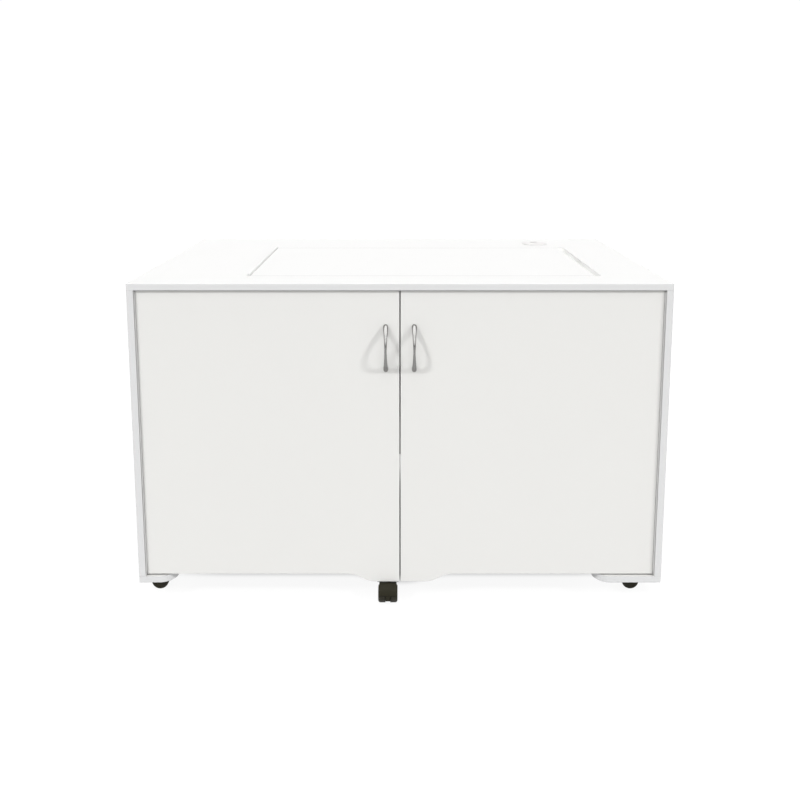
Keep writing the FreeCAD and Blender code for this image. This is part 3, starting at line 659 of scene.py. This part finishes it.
class StageSettings(bpy.types.PropertyGroup):
    """Camera, lights and floor."""

    lens: FloatProperty(
        name="Lens", description="Focal length of the camera in millimetres", default=36.05, unit="CAMERA",
    )
    distance: FloatProperty(
        name="Distance", description="Camera's distance in front of the middle", default=2.1846, **LENGTH
    )
    height: FloatProperty(
        name="Height", description="Camera's height above the floor", default=1.1491, **LENGTH
    )
    tilt: FloatProperty(
        name="Tilt", description="Camera's tilt below the horizon", default=0.135, subtype="ANGLE",
    )
    shift: FloatProperty(
        name="Shift", description="Vertical shift of the camera, as a share of the frame", default=-0.205,
    )
    horizon_sky: FloatProperty(
        name="Horizon", description="Brightness of the surroundings near the horizon", default=1.02, min=0,
    )
    upper_sky: FloatProperty(
        name="Upper sky", description="Brightness of the surroundings above the horizon", default=0.1, min=0,
    )
    softbox: FloatProperty(
        name="Softbox", description="Brightness of the softbox overhead", default=3.45, min=0,
    )
    strip: FloatProperty(
        name="Strip light", description="Brightness of the strip light above the camera", default=3.2, min=0,
    )
    key: FloatProperty(
        name="Key lights", description="Strength of each of the two key lights", default=1.85, min=0,
    )
    key_softness: FloatProperty(
        name="Key softness", description="Angle across each key light",
        default=math.radians(7.5), subtype="ANGLE",
    )
    floor_colour: FloatVectorProperty(
        name="Floor colour", description="Colour of the light table", default=(0.08, 0.08, 0.08), **COLOUR
    )
    floor_glow: FloatProperty(
        name="Floor glow", description="Light given by the light table itself", default=0.92, min=0,
    )
    glow_fade: FloatProperty(
        name="Glow fade", description="Share of its glow that the table keeps towards the camera",
        default=0.9, **SHARE
    )
    # Painted shade: how much of its glow the light table keeps where shade is painted under the cabinet
    shade_under: FloatProperty(
        name="Shade under", description="Share of its glow that the table keeps under the cabinet",
        default=0.06, **SHARE
    )


class CABINET_OT_finishes(bpy.types.Operator):
    """Makes every finish and gives the carried-over pieces theirs"""

    bl_idname = "cabinet.finishes"
    bl_label = "Finish boards and fittings"

    def execute(self, context):
        boards = context.scene.cabinet_boards
        metals = context.scene.cabinet_metals
        plastics = context.scene.cabinet_plastics
        tints = (boards.face_colour, boards.edging_colour)
        for axis, nodes in BOARDS_ACROSS.items():
            paint(board_finish(boards, f"board_across_{axis.lower()}", axis, *tints), *nodes)
        # The edging inside the top's opening gets painted light.
        tints = (boards.top_colour, boards.edging_colour, boards.painted_light_opening_colour)
        paint(board_finish(boards, "top_board", "Z", *tints), "top_panel", "lid_panel")
        # Painted light: the ledges take a much lighter white than the other boards, to lighten the shaded gap
        # beside the lid.
        tints = (boards.painted_light_ledge_colour, boards.painted_light_ledge_colour)
        paint(board_finish(boards, "ledge_board_painted_light", "Z", *tints), *LEDGES)
        upright = (900.0, 900.0, 25.0)
        lengthwise = (900.0, 25.0, 900.0)
        grain = plastics.grain_size
        soft_glow = {"Subsurface Weight": 0.2, "Subsurface Radius": (2 * MM, 2 * MM, 1.5 * MM)}
        dull = {"Specular IOR Level": 0.14}
        finishes = {
            "satin_nickel": brushed_finish("brushed_nickel", metals.nickel_colour, 0.17, upright),
            "hinge_steel": brushed_finish("brushed_steel", metals.hinge_colour, 0.28, upright),
            "zinc_steel": zinc_finish(metals),
            "hard_chrome": chrome_finish(metals),
            "die_cast": die_cast_finish(metals),
            "black_enamel": enamel_finish(metals),
            "natural_nylon": moulded_finish("moulded_nylon", plastics.runner_colour, grain, 0.4, soft_glow),
            "white_plastic": moulded_finish("moulded_white", plastics.catch_colour, grain, 0.4),
            "cable_cover_plastic": moulded_finish("moulded_cover", plastics.cover_colour, grain, 0.38),
            "black_nylon": moulded_finish("moulded_black", plastics.hood_colour, grain, 0.5, dull),
            "black_wheel": tread_finish(plastics),
        }
        brushed_finish("lacquered_steel", metals.lid_hinge_colour, 0.45, lengthwise, {"Metallic": 0.2})
        for node, slot in SLOTS.items():
            if slot in finishes:
                paint(finishes[slot], node)
        return {"FINISHED"}


class CABINET_OT_hinges(bpy.types.Operator):
    """Makes the continuous hinges of the doors and of the lid"""

    bl_idname = "cabinet.hinges"
    bl_label = "Make continuous hinges"

    def leaf(self, names, sizes, turn, place, side):
        """A leaf with its rolled knuckles, in a placement with the pin along Z and the leaf towards Y.
        The leaf of the outermost knuckles has a plug beyond each of them."""
        node, pin = names
        knuckles, sheet, gap, plug = sizes
        low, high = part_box(pin)
        length = max(high - low)
        flat = place.inverted()
        corners = [flat @ Vector(corner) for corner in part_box(node)]
        reach = max(corner.y for corner in corners)
        outer = max(abs(corner.x) for corner in corners)
        barrel = -min(corner.y for corner in corners)
        clearance = 0.05 * MM
        bore = sorted(high - low)[0] / 2 + clearance
        sheet_low, sheet_high = sorted((side * outer, side * (outer - sheet)))
        slit = 0.4 * MM
        notch = barrel + slit
        pitch = length / knuckles
        chamfer = 0.25 * MM
        plug_step = 0.15 * MM

        def make(work):
            block(work, (sheet_low, notch, 0), (sheet_high, reach, length), place)
            for index in range(turn, knuckles, 2):
                start = index * pitch + gap / 2
                end = (index + 1) * pitch - gap / 2
                block(work, (sheet_low, 0, start), (sheet_high, notch, end), place)
                profile = [
                    (start, bore),
                    (start, barrel - chamfer),
                    (start + chamfer, barrel),
                    (end - chamfer, barrel),
                    (end, barrel - chamfer),
                    (end, bore),
                ]
                lathe(work, profile, place, 24, closed=True)
            if turn == 0 and plug > 0:
                inner = barrel - plug_step
                for end, way in ((0.0, -1), (length, 1)):
                    tip = end + way * plug
                    profile = [
                        (end, 0.0),
                        (end, inner),
                        (tip - way * chamfer, inner),
                        (tip, inner - chamfer),
                        (tip, 0.0),
                    ]
                    lathe(work, profile, place, 24)

        return make

    def execute(self, context):
        props = context.scene.cabinet_hinges
        sizes = (props.door_knuckles, props.door_sheet, props.knuckle_gap, props.end_plug)
        steel = material("brushed_steel")
        for side, sign in SIDES.items():
            pin = f"{side}_door_hinge_pin"
            place = upright_axis(pin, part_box(pin)[0].z)
            for turn, (leaf, way) in enumerate((("side", sign), ("door", -sign))):
                node = f"{side}_door_hinge_{leaf}_leaf"
                make = self.leaf((node, pin), sizes, turn, place, way)
                piece(f"{side}_{leaf}_hinge_leaf", make, steel, BODIES[node], (node,))
        sizes = (props.lid_knuckles, props.lid_sheet, props.knuckle_gap, props.end_plug)
        pin = "lid_hinge_pin"
        foot = middle_of(pin)
        foot.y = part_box(pin)[0].y
        lying = Matrix(((1, 0, 0, 0), (0, 0, 1, 0), (0, -1, 0, 0), (0, 0, 0, 1)))
        place = Matrix.Translation(foot) @ lying
        steel = material("lacquered_steel")
        paint(steel, pin)
        for turn, (leaf, way) in enumerate((("top", -1), ("lid", 1))):
            node = f"lid_hinge_{leaf}_leaf"
            make = self.leaf((node, pin), sizes, turn, place, way)
            piece(f"{leaf}_hinge_leaf", make, steel, BODIES[node], (node,))
        return {"FINISHED"}


class CABINET_OT_handles(bpy.types.Operator):
    """Makes the bow handles, flat in front at the waist and flared to round feet"""

    bl_idname = "cabinet.handles"
    bl_label = "Make handles"

    def section(self, props, near):
        """Half width, half thickness and power of the section at a share of the way from waist to foot."""
        flare = 1.45
        swell = 4
        rounding = 5
        width = props.waist_width + near ** flare * (props.foot_width - props.waist_width)
        thickness = props.waist_thickness + near ** swell * (props.foot_thickness - props.waist_thickness)
        flatness = props.flatness + near ** rounding * (props.foot_flatness - props.flatness)
        return width / 2, thickness / 2, 2 / flatness

    def execute(self, context):
        props = context.scene.cabinet_handles
        steps = 28
        points = 48
        past_foot = 1.22
        for side in SIDES:
            node = f"{side}_handle"
            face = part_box(f"{side}_door")[0].y
            half_span = props.span / 2
            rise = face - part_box(node)[0].y - props.waist_thickness / 2
            radius = (half_span ** 2 + rise ** 2) / (2 * rise)
            foot = math.asin(half_span / radius)
            middle = middle_of(node)
            middle.y = face - rise + radius

            def make(work):
                rings = []
                for step in range(-steps, steps + 1):
                    share = past_foot * step / steps
                    half_width, half_thickness, power = self.section(props, min(abs(share), 1.0))
                    turned = Matrix.Rotation(-share * foot, 4, "X")
                    ring = []
                    for point in range(points):
                        angle = 2 * math.pi * point / points
                        across, out = math.cos(angle), math.sin(angle)
                        across = math.copysign(abs(across) ** power, across) * half_width
                        out = math.copysign(abs(out) ** power, out) * half_thickness
                        ring.append(work.verts.new(middle + turned @ Vector((across, out - radius, 0))))
                    rings.append(ring)
                skin(work, rings)
                work.faces.new(rings[0])
                work.faces.new(rings[-1])
                geometry = [*work.verts, *work.edges, *work.faces]
                bmesh.ops.bisect_plane(
                    work, geom=geometry, plane_co=(0, face, 0), plane_no=(0, 1, 0), clear_outer=True
                )
                open_edges = [edge for edge in work.edges if edge.is_boundary]
                bmesh.ops.holes_fill(work, edges=open_edges)

            piece(f"{side}_bow", make, material("brushed_nickel"), BODIES[node], (node,), crease=50.0)
        return {"FINISHED"}


class CABINET_OT_casters(bpy.types.Operator):
    """Makes the twin wheels of every caster and the thread guards between them"""

    bl_idname = "cabinet.casters"
    bl_label = "Make caster wheels"

    def wheel(self, props, half, radius):
        """Profile of one wheel: a grooved tread with a rounded shoulder, and a dished face with a hub."""
        inner = props.wheel_gap / 2
        shoulder = props.shoulder
        rim = radius - shoulder - props.rim
        groove = (inner + half - shoulder) / 2
        groove_half = 0.3 * MM
        inner_edge = 1.2 * MM
        hub_step = 0.9 * MM
        return [
            (inner, props.axle / 2),
            (inner, radius - inner_edge),
            (inner + 0.4 * MM, radius - 0.35 * MM),
            (inner + inner_edge, radius),
            (groove - groove_half, radius),
            (groove, radius - 0.2 * MM),
            (groove + groove_half, radius),
            *arc((half - shoulder, radius - shoulder), (shoulder, shoulder), 90, 0, 8),
            (half, rim),
            (half - 0.6 * props.dish, rim - 0.5 * MM),
            (half - props.dish, props.hub + hub_step),
            (half - props.dish, props.hub + hub_step / 3),
            (half - 0.55 * props.dish, props.hub - 0.2 * MM),
            (half - 0.4 * props.dish, 0.55 * props.hub),
            (half - 0.35 * props.dish, 0.0),
        ]

    def execute(self, context):
        props = context.scene.cabinet_casters
        inner = props.wheel_gap / 2
        axle = [(-inner, props.axle / 2), (inner, props.axle / 2)]
        guard_half_length = 4 * MM
        guard_top = 8 * MM
        guard_half_width = inner - 0.2 * MM
        for name in CASTERS:
            node = f"caster_wheels_{name}"
            axis = Vector(JOINTS[f"wheel_{name}"]["axis"])
            low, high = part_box(node)
            radius = (high.z - low.z) / 2
            profile = self.wheel(props, max(high.x - low.x, high.y - low.y) / 2, radius)
            middle = Matrix.Translation(middle_of(node))
            place = middle @ axes_of(axis)

            def make(work):
                for way in (1, -1):
                    lathe(work, profile, middle @ axes_of(way * axis), 48)
                lathe(work, axle, place, 24)

            piece(f"twin_wheels_{name}", make, material("wheel_nylon"), BODIES[node], (node,))
            hood = f"caster_hood_{name}"
            guard_low = (-guard_half_length, props.guard_gap - radius, -guard_half_width)
            guard_high = (guard_half_length, guard_top - radius, guard_half_width)
            piece(
                f"thread_guard_{name}",
                lambda work: block(work, guard_low, guard_high, place, 0.6 * MM),
                material("moulded_black"),
                BODIES[hood],
                slot=SLOTS[hood],
            )
        return {"FINISHED"}


class CABINET_OT_cable_cover(bpy.types.Operator):
    """Makes the rounded ring of the cable cover"""

    bl_idname = "cabinet.cable_cover"
    bl_label = "Make cable cover"

    def execute(self, context):
        node = "grommet_ring"
        low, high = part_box(node)
        cap_low, cap_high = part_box("grommet_cap")
        clearance = 0.3 * MM
        wall = 2.0 * MM
        ledge = 2.5 * MM
        flange = (high.x - low.x) / 2
        inner = (cap_high.x - cap_low.x) / 2 + clearance
        outer = inner + wall
        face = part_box("top_panel")[1].z
        rise = high.z - face
        rounding = 0.4 * rise
        seat = cap_low.z
        profile = [
            (high.z - 0.4 * MM, inner),
            (high.z, inner + 0.5 * MM),
            *arc((face, flange - rounding), (rise, rounding), 0, 90, 6),
            (face, outer),
            (low.z, outer),
            (low.z, inner),
            (seat - ledge, inner),
            (seat, inner - ledge),
            (seat, inner),
        ]
        place = upright_axis(node)
        piece(
            "cable_cover_ring",
            lambda work: lathe(work, profile, place, 64, closed=True),
            material("moulded_cover"),
            BODIES[node],
            (node,),
        )
        return {"FINISHED"}


class CABINET_OT_lift(bpy.types.Operator):
    """Makes the crimped gas springs and the release lever with its grip"""

    bl_idname = "cabinet.lift"
    bl_label = "Make springs and lever"

    def cylinder(self, foot, end, radius):
        """Profile of a gas spring's cylinder: a stub, a rounded foot, a crimp and an end rolled in."""
        stub = 6 * MM
        chamfer = 0.6 * MM
        shoulder = foot + 8 * MM
        crimp = 0.7 * MM
        crimp_start = end - 12 * MM
        crimp_end = end - 8 * MM
        slope = 1 * MM
        rod_hole = 4.1 * MM
        return [
            (foot, 0.0),
            (foot, stub - chamfer),
            (foot + chamfer, stub),
            (shoulder, stub),
            (shoulder, radius - 2 * MM),
            (shoulder + chamfer, radius - crimp),
            (shoulder + 2 * MM, radius),
            (crimp_start, radius),
            (crimp_start + slope, radius - crimp),
            (crimp_end - slope, radius - crimp),
            (crimp_end, radius),
            (end - 3 * MM, radius),
            (end - 1 * MM, radius - 0.8 * MM),
            (end, radius - 2.6 * MM),
            (end, rod_hole),
        ]

    def execute(self, context):
        enamel = material("stove_enamel")
        for side in SIDES:
            node = f"{side}_spring_cylinder"
            low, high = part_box(node)
            profile = self.cylinder(low.z, high.z, (high.x - low.x) / 2)
            place = upright_axis(node)
            piece(
                f"{side}_gas_spring",
                lambda work: lathe(work, profile, place, 40),
                enamel,
                BODIES[node],
                (node,),
            )
        node = "release_lever"
        pivot = Matrix.Translation(JOINTS["release_lever_pull"]["pos_m"])
        sloped = pivot @ Matrix.Rotation(math.radians(12), 4, "X")
        across = pivot @ axes_of((1, 0, 0))
        half_arm = 7 * MM
        arm_length = 110 * MM
        half_sheet = 2 * MM
        boss = 5 * MM
        pin_end = 11 * MM
        pin_radius = 2 * MM
        pin_chamfer = 0.5 * MM

        def make(work):
            barrel = [(-half_arm, 0), (-half_arm, boss), (half_arm, boss), (half_arm, 0)]
            lathe(work, barrel, across, 28)
            pin = [(-pin_end, 0), (-pin_end, pin_radius - pin_chamfer), (pin_chamfer - pin_end, pin_radius)]
            pin += [(-along, radius) for along, radius in reversed(pin)]
            lathe(work, pin, across, 20)
            arm_low = (-half_arm, -arm_length, -half_sheet)
            arm_high = (half_arm, 0, half_sheet)
            block(work, arm_low, arm_high, sloped, 0.7 * MM)

        piece("release_arm", make, enamel, BODIES[node], (node,))
        ribs = 5
        rib_start = -118 * MM
        rib_pitch = 6 * MM

        def make_grip(work):
            grip_low = (-10 * MM, -160 * MM, -4.5 * MM)
            grip_high = (10 * MM, -100 * MM, 4.5 * MM)
            block(work, grip_low, grip_high, sloped, 3.6 * MM, 5)
            for rib in range(ribs):
                at = rib_start - rib * rib_pitch
                rib_low = (-9 * MM, at - 1 * MM, -4.9 * MM)
                rib_high = (9 * MM, at + 1 * MM, -4.0 * MM)
                block(work, rib_low, rib_high, sloped, 0.35 * MM)

        piece("release_grip", make_grip, material("moulded_black"), BODIES[node], slot="black_nylon")
        return {"FINISHED"}


class CABINET_OT_fasteners(bpy.types.Operator):
    """Makes the screws of handles, hinges, catches and lift, and the catches' pole plates"""

    bl_idname = "cabinet.fasteners"
    bl_label = "Make screws"

    def head(self, work, place, radius, rise, recess):
        """A screw head with a cross recess, seated at a placement's origin with Z outwards.
        A head with no rise is countersunk."""
        steps = 20
        sunk = 0.0 if rise > 0 else -0.4 * MM
        top = rise if rise > 0 else sunk + 0.35 * MM
        profile = [(sunk - 0.3 * MM, radius), (sunk + 0.2 * MM, radius)]
        if rise > 0:
            profile += [(0.55 * rise, 0.97 * radius), (0.85 * rise, 0.86 * radius)]
        profile.append((top, 0.72 * radius))
        lathe(work, profile, place, steps)
        work.verts.ensure_lookup_table()
        ring = work.verts[len(work.verts) - steps:]
        arm = recess * radius
        half = 0.24 * arm
        outline = [
            (arm, -half), (arm, half), (half, half), (half, arm), (-half, arm), (-half, half),
            (-arm, half), (-arm, -half), (-half, -half), (-half, -arm), (half, -arm), (half, -half),
        ]
        depth = top - 0.45 * radius
        taper = 0.7
        lip = [work.verts.new(place @ Vector((x, y, top))) for x, y in outline]
        floor = [work.verts.new(place @ Vector((taper * x, taper * y, depth))) for x, y in outline]
        edges = []
        for loop in (ring, lip):
            for first, second in zip(loop, loop[1:] + loop[:1]):
                edges.append(work.edges.get((first, second)) or work.edges.new((first, second)))
        bmesh.ops.triangle_fill(work, use_beauty=True, edges=edges)
        skin(work, [lip, floor])
        work.faces.new(floor)

    def pair(self, middle, spread):
        """Two places, a spread either way of a middle."""
        return (middle - spread, middle + spread)

    def row(self, low, high, margin, pitch):
        """Places along a leaf, a pitch apart about its middle."""
        count = int((high - low - margin) / pitch)
        first = (low + high) / 2 - count * pitch / 2
        return [first + index * pitch for index in range(count + 1)]

    def inside(self, node, sign, distance):
        """A place across the cabinet, a distance inwards from a bracket's wall side."""
        low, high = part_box(node)
        return low.x + distance if sign < 0 else high.x - distance

    def door_screws(self, side, sign, hinges):
        """Screws of a door's handle, strike plate and hinge leaves."""
        door = f"{side}_door"
        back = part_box(door)[1].y
        middle = middle_of(f"{side}_handle")
        for height in self.pair(middle.z, HANDLE_SCREW_SPREAD):
            yield "pan", door, (middle.x, back, height), (0, 1, 0)
        strike = f"{side}_strike"
        low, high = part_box(strike)
        for aside in self.pair(middle_of(strike).x, STRIKE_SCREW_SPREAD):
            yield "flat", door, (aside, high.y, low.z + STRIKE_SCREW_HEIGHT), (0, 1, 0)
        axis = middle_of(f"{side}_door_hinge_pin").x
        for leaf, body, outward in (("side", "cabinet", sign), ("door", door, -sign)):
            low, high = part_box(f"{side}_door_hinge_{leaf}_leaf")
            reach = max(abs(low.x - axis), abs(high.x - axis))
            face = axis + outward * (reach - hinges.door_sheet)
            for height in self.row(low.z, high.z, DOOR_LEAF_MARGIN, hinges.screw_pitch):
                yield "flat", body, (face, high.y - DOOR_LEAF_SCREW_INSET, height), (-outward, 0, 0)

    def carcass_screws(self, side, sign):
        """Screws of a catch and of a gas spring's foot."""
        catch = f"{side}_catch"
        low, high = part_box(catch)
        for aside in self.pair(middle_of(catch).x, CATCH_SCREW_SPREAD):
            yield "pan", "cabinet", (aside, high.y - CATCH_SCREW_INSET, low.z), (0, 0, -1)
        foot = f"{side}_spring_foot"
        face = self.inside(foot, sign, BRACKET_SHEET)
        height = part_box(foot)[1].z - SPRING_FOOT_SCREW_DROP
        for along in self.pair(middle_of(foot).y, SPRING_FOOT_SCREW_SPREAD):
            yield "pan", "cabinet", (face, along, height), (-sign, 0, 0)

    def lift_screws(self, side, sign):
        """Screws of a platform bracket, into the platform and into its runner."""
        bracket = f"{side}_platform_bracket"
        low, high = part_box(bracket)
        aside = self.inside(bracket, sign, PLATFORM_SCREW_INSET)
        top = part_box("platform_board")[1].z
        for along in (low.y + PLATFORM_SCREW_MARGIN, high.y - PLATFORM_SCREW_MARGIN):
            yield "flat", "lift", (aside, along, top), (0, 0, 1)
        face = self.inside(bracket, sign, BRACKET_SHEET)
        along = middle_of(f"{side}_runner").y
        for height in (low.z + RUNNER_SCREW_RISE, high.z - RUNNER_SCREW_DROP):
            yield "pan", "lift", (face, along, height), (-sign, 0, 0)

    def lid_screws(self, pitch):
        """Screws of the lid hinge's leaves."""
        for leaf, body, way in (("top", "cabinet", -1), ("lid", "lid", 1)):
            low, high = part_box(f"lid_hinge_{leaf}_leaf")
            face = middle_of("lid_hinge_pin").x + way * LID_LEAF_SCREW_FACE
            for along in self.row(low.y, high.y, LID_LEAF_MARGIN, pitch):
                yield "flat", body, (face, along, low.z + LID_LEAF_SCREW_HEIGHT), (-way, 0, 0)

    def screws(self, hinges):
        """Every screw: its kind, its body, the place of its head and the direction that the head faces."""
        for side, sign in SIDES.items():
            yield from self.door_screws(side, sign, hinges)
            yield from self.carcass_screws(side, sign)
            yield from self.lift_screws(side, sign)
        yield from self.lid_screws(hinges.screw_pitch)

    def pole_plates(self, work):
        """The two pole plates of each magnetic catch."""
        inset = 6 * MM
        proud = 0.15 * MM
        depth = 5 * MM
        sheet = 1.5 * MM
        for side in SIDES:
            low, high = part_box(f"{side}_catch")
            for height in (3.0 * MM, 8.5 * MM):
                start = (low.x + inset, low.y - proud, low.z + height)
                end = (high.x - inset, low.y + depth, low.z + height + sheet)
                block(work, start, end, Matrix.Identity(4), 0.1 * MM)

    def execute(self, context):
        props = context.scene.cabinet_fasteners
        zinc = material("zinc_plate")
        steel = material("brushed_steel")
        heads = {
            "pan": (props.pan_head / 2, props.pan_rise, zinc, "zinc_steel"),
            "flat": (props.flat_head / 2, 0.0, steel, "hinge_steel"),
        }
        seats = {kind: defaultdict(list) for kind in heads}
        for kind, body, point, outward in self.screws(context.scene.cabinet_hinges):
            seats[kind][body].append(Matrix.Translation(point) @ axes_of(outward))
        for kind, (radius, rise, metal, slot) in heads.items():
            for body, places in seats[kind].items():
                def make(work):
                    for place in places:
                        self.head(work, place, radius, rise, props.recess)

                piece(f"{kind}_screws_{body}", make, metal, body, slot=slot)
        piece("catch_pole_plates", self.pole_plates, zinc, "cabinet", slot="zinc_steel")
        return {"FINISHED"}


class CABINET_OT_stage(bpy.types.Operator):
    """Sets up the light table, the soft lights and the camera"""

    bl_idname = "cabinet.stage"
    bl_label = "Set up studio"

    def light_table(self, scene, props):
        """A wide glowing table with a soft shade painted into its glow under and behind the cabinet."""
        work = bmesh.new()
        bmesh.ops.create_grid(work, x_segments=8, y_segments=8, size=30.0)
        mesh = bpy.data.meshes.new("light_table")
        work.to_mesh(mesh)
        work.free()
        floor = bpy.data.objects.new("light_table", mesh)
        scene.collection.objects.link(floor)
        constants = {"Roughness": 0.9, "Emission Strength": 1.0, "Specular IOR Level": 0.1}
        finish = Finish("light_table", constants)
        place = finish.place()
        clouds = finish.noise(place, 1.5)
        finish.shade("Base Color", finish.mottle(clouds, props.floor_colour, 0.97))
        along = finish.part_of(place, "Y")
        aside = abs(finish.part_of(place, "X"))
        low, high = (Vector(corner) for corner in CAD_BOX)
        # Painted shade: the glow is dimmed under and behind the cabinet in place of a cast shadow. The shade
        # reaches nearer in the middle so that the doors' meeting line looks dark.
        nearer_in_middle = 0.035 * (1 - finish.ease(aside, 0.01, 0.13))
        behind_doors = finish.ease(along + nearer_in_middle, low.y + 0.124, low.y + 0.184)
        fade_at_back = finish.ease(along, high.y - 0.2, high.y + 0.1)
        fade_behind = finish.ease(along, high.y + 0.2, high.y + 0.8)
        fade_aside = finish.ease(aside, high.x - 0.2, high.x)
        painted_shade = behind_doors * (1 - (0.5 * fade_at_back + 0.5 * fade_behind)) * (1 - fade_aside)
        glow = (props.floor_glow,) * 3
        towards_back = finish.ease(along, -4.0, -1.5)
        open_glow = finish.blend(towards_back, colour(glow, props.glow_fade), colour(glow))
        finish.shade("Emission Color", finish.blend(painted_shade, open_glow, colour(glow, props.shade_under)))
        mesh.materials.append(finish.material)

    def surroundings(self, scene, props):
        """A pale horizon, wider behind the cabinet, a strip light above the camera and a softbox overhead."""
        world = bpy.data.worlds.new("studio_surroundings")
        world.use_nodes = True
        sky = Nodes(world.node_tree)
        direction = sky.place("Generated")
        aside = abs(sky.part_of(direction, "X"))
        along = sky.part_of(direction, "Y")
        rise = sky.part_of(direction, "Z")
        behind = sky.ease(along, -0.85, -0.35)
        wide_band = (1 - sky.ease(rise, 0.14, 0.4)) * behind
        narrow_band = (1 - sky.ease(rise, 0.04, 0.16)) * (1 - behind)
        overhead = (1 - sky.ease(aside, 0.34, 0.46)) * sky.ease(rise, 0.74, 0.84)
        in_front = (1 - sky.ease(aside, 0.1, 0.15)) * (1 - sky.ease(along, -0.4, -0.2))
        light = grey(props.upper_sky)
        for share, brightness in (
            (wide_band + narrow_band, props.horizon_sky),
            (in_front * sky.ease(rise, 0.05, 0.5), props.strip),
            (overhead, props.softbox),
        ):
            light = sky.blend(share, light, grey(brightness))
        sky.feed(world.node_tree.nodes["Background"].inputs["Color"], light)
        scene.world = world

    def key_lights(self, scene, props):
        """Two soft suns from above the camera's left and right."""
        headings = {"left_key": (1.28, 1.0, -1.28), "right_key": (-1.83, 1.0, -1.28)}
        for name, heading in headings.items():
            lamp = bpy.data.lights.new(name, "SUN")
            lamp.energy = props.key
            lamp.angle = props.key_softness
            light = bpy.data.objects.new(name, lamp)
            light.rotation_euler = Vector(heading).to_track_quat("-Z", "Y").to_euler()
            light.visible_glossy = False
            scene.collection.objects.link(light)

    def front_camera(self, scene, props):
        """The camera in front of the cabinet's middle."""
        camera = bpy.data.cameras.new("front_camera")
        camera.sensor_width = 36.0
        camera.lens = props.lens
        camera.shift_y = props.shift
        camera.clip_end = 200.0
        view = bpy.data.objects.new("front_camera", camera)
        view.location = (0.0, -props.distance, props.height)
        view.rotation_euler = (math.pi / 2 - props.tilt, 0.0, 0.0)
        scene.collection.objects.link(view)
        scene.camera = view

    def execute(self, context):
        scene = context.scene
        scene.view_settings.view_transform = "Standard"
        for step in (self.light_table, self.surroundings, self.key_lights, self.front_camera):
            step(scene, scene.cabinet_stage)
        return {"FINISHED"}


SETTINGS = {
    "cabinet_boards": BoardSettings,
    "cabinet_metals": MetalSettings,
    "cabinet_plastics": PlasticSettings,
    "cabinet_handles": HandleSettings,
    "cabinet_hinges": HingeSettings,
    "cabinet_casters": CasterSettings,
    "cabinet_fasteners": FastenerSettings,
    "cabinet_stage": StageSettings,
}
OPERATORS = (
    CABINET_OT_finishes,
    CABINET_OT_hinges,
    CABINET_OT_handles,
    CABINET_OT_casters,
    CABINET_OT_cable_cover,
    CABINET_OT_lift,
    CABINET_OT_fasteners,
    CABINET_OT_stage,
)


class CABINET_PT_pieces(bpy.types.Panel):
    """Lists the cabinet's settings and its steps"""

    bl_label = "Sewing Cabinet"
    bl_idname = "CABINET_PT_pieces"
    bl_space_type = "VIEW_3D"
    bl_region_type = "UI"
    bl_category = "Cabinet"

    def draw(self, context):
        layout = self.layout
        for name, group in SETTINGS.items():
            column = layout.box().column()
            column.label(text=group.__doc__.rstrip("."))
            for setting in group.__annotations__:
                column.prop(getattr(context.scene, name), setting)
        for operator in OPERATORS:
            layout.operator(operator.bl_idname)


def register():
    """Registers the classes and puts the settings on the scene."""
    for registered in (*SETTINGS.values(), *OPERATORS, CABINET_PT_pieces):
        bpy.utils.register_class(registered)
    for name, group in SETTINGS.items():
        setattr(bpy.types.Scene, name, PointerProperty(type=group))


def unregister():
    """Takes the settings off the scene and the classes out again."""
    for name in SETTINGS:
        delattr(bpy.types.Scene, name)
    for registered in (CABINET_PT_pieces, *reversed(OPERATORS), *reversed(SETTINGS.values())):
        bpy.utils.unregister_class(registered)


def main():
    """Registers the classes and makes every piece."""
    register()
    bpy.ops.cabinet.finishes()
    bpy.ops.cabinet.hinges()
    bpy.ops.cabinet.handles()
    bpy.ops.cabinet.casters()
    bpy.ops.cabinet.cable_cover()
    bpy.ops.cabinet.lift()
    bpy.ops.cabinet.fasteners()
    bpy.ops.cabinet.stage()


if __name__ == "__main__":
    main()
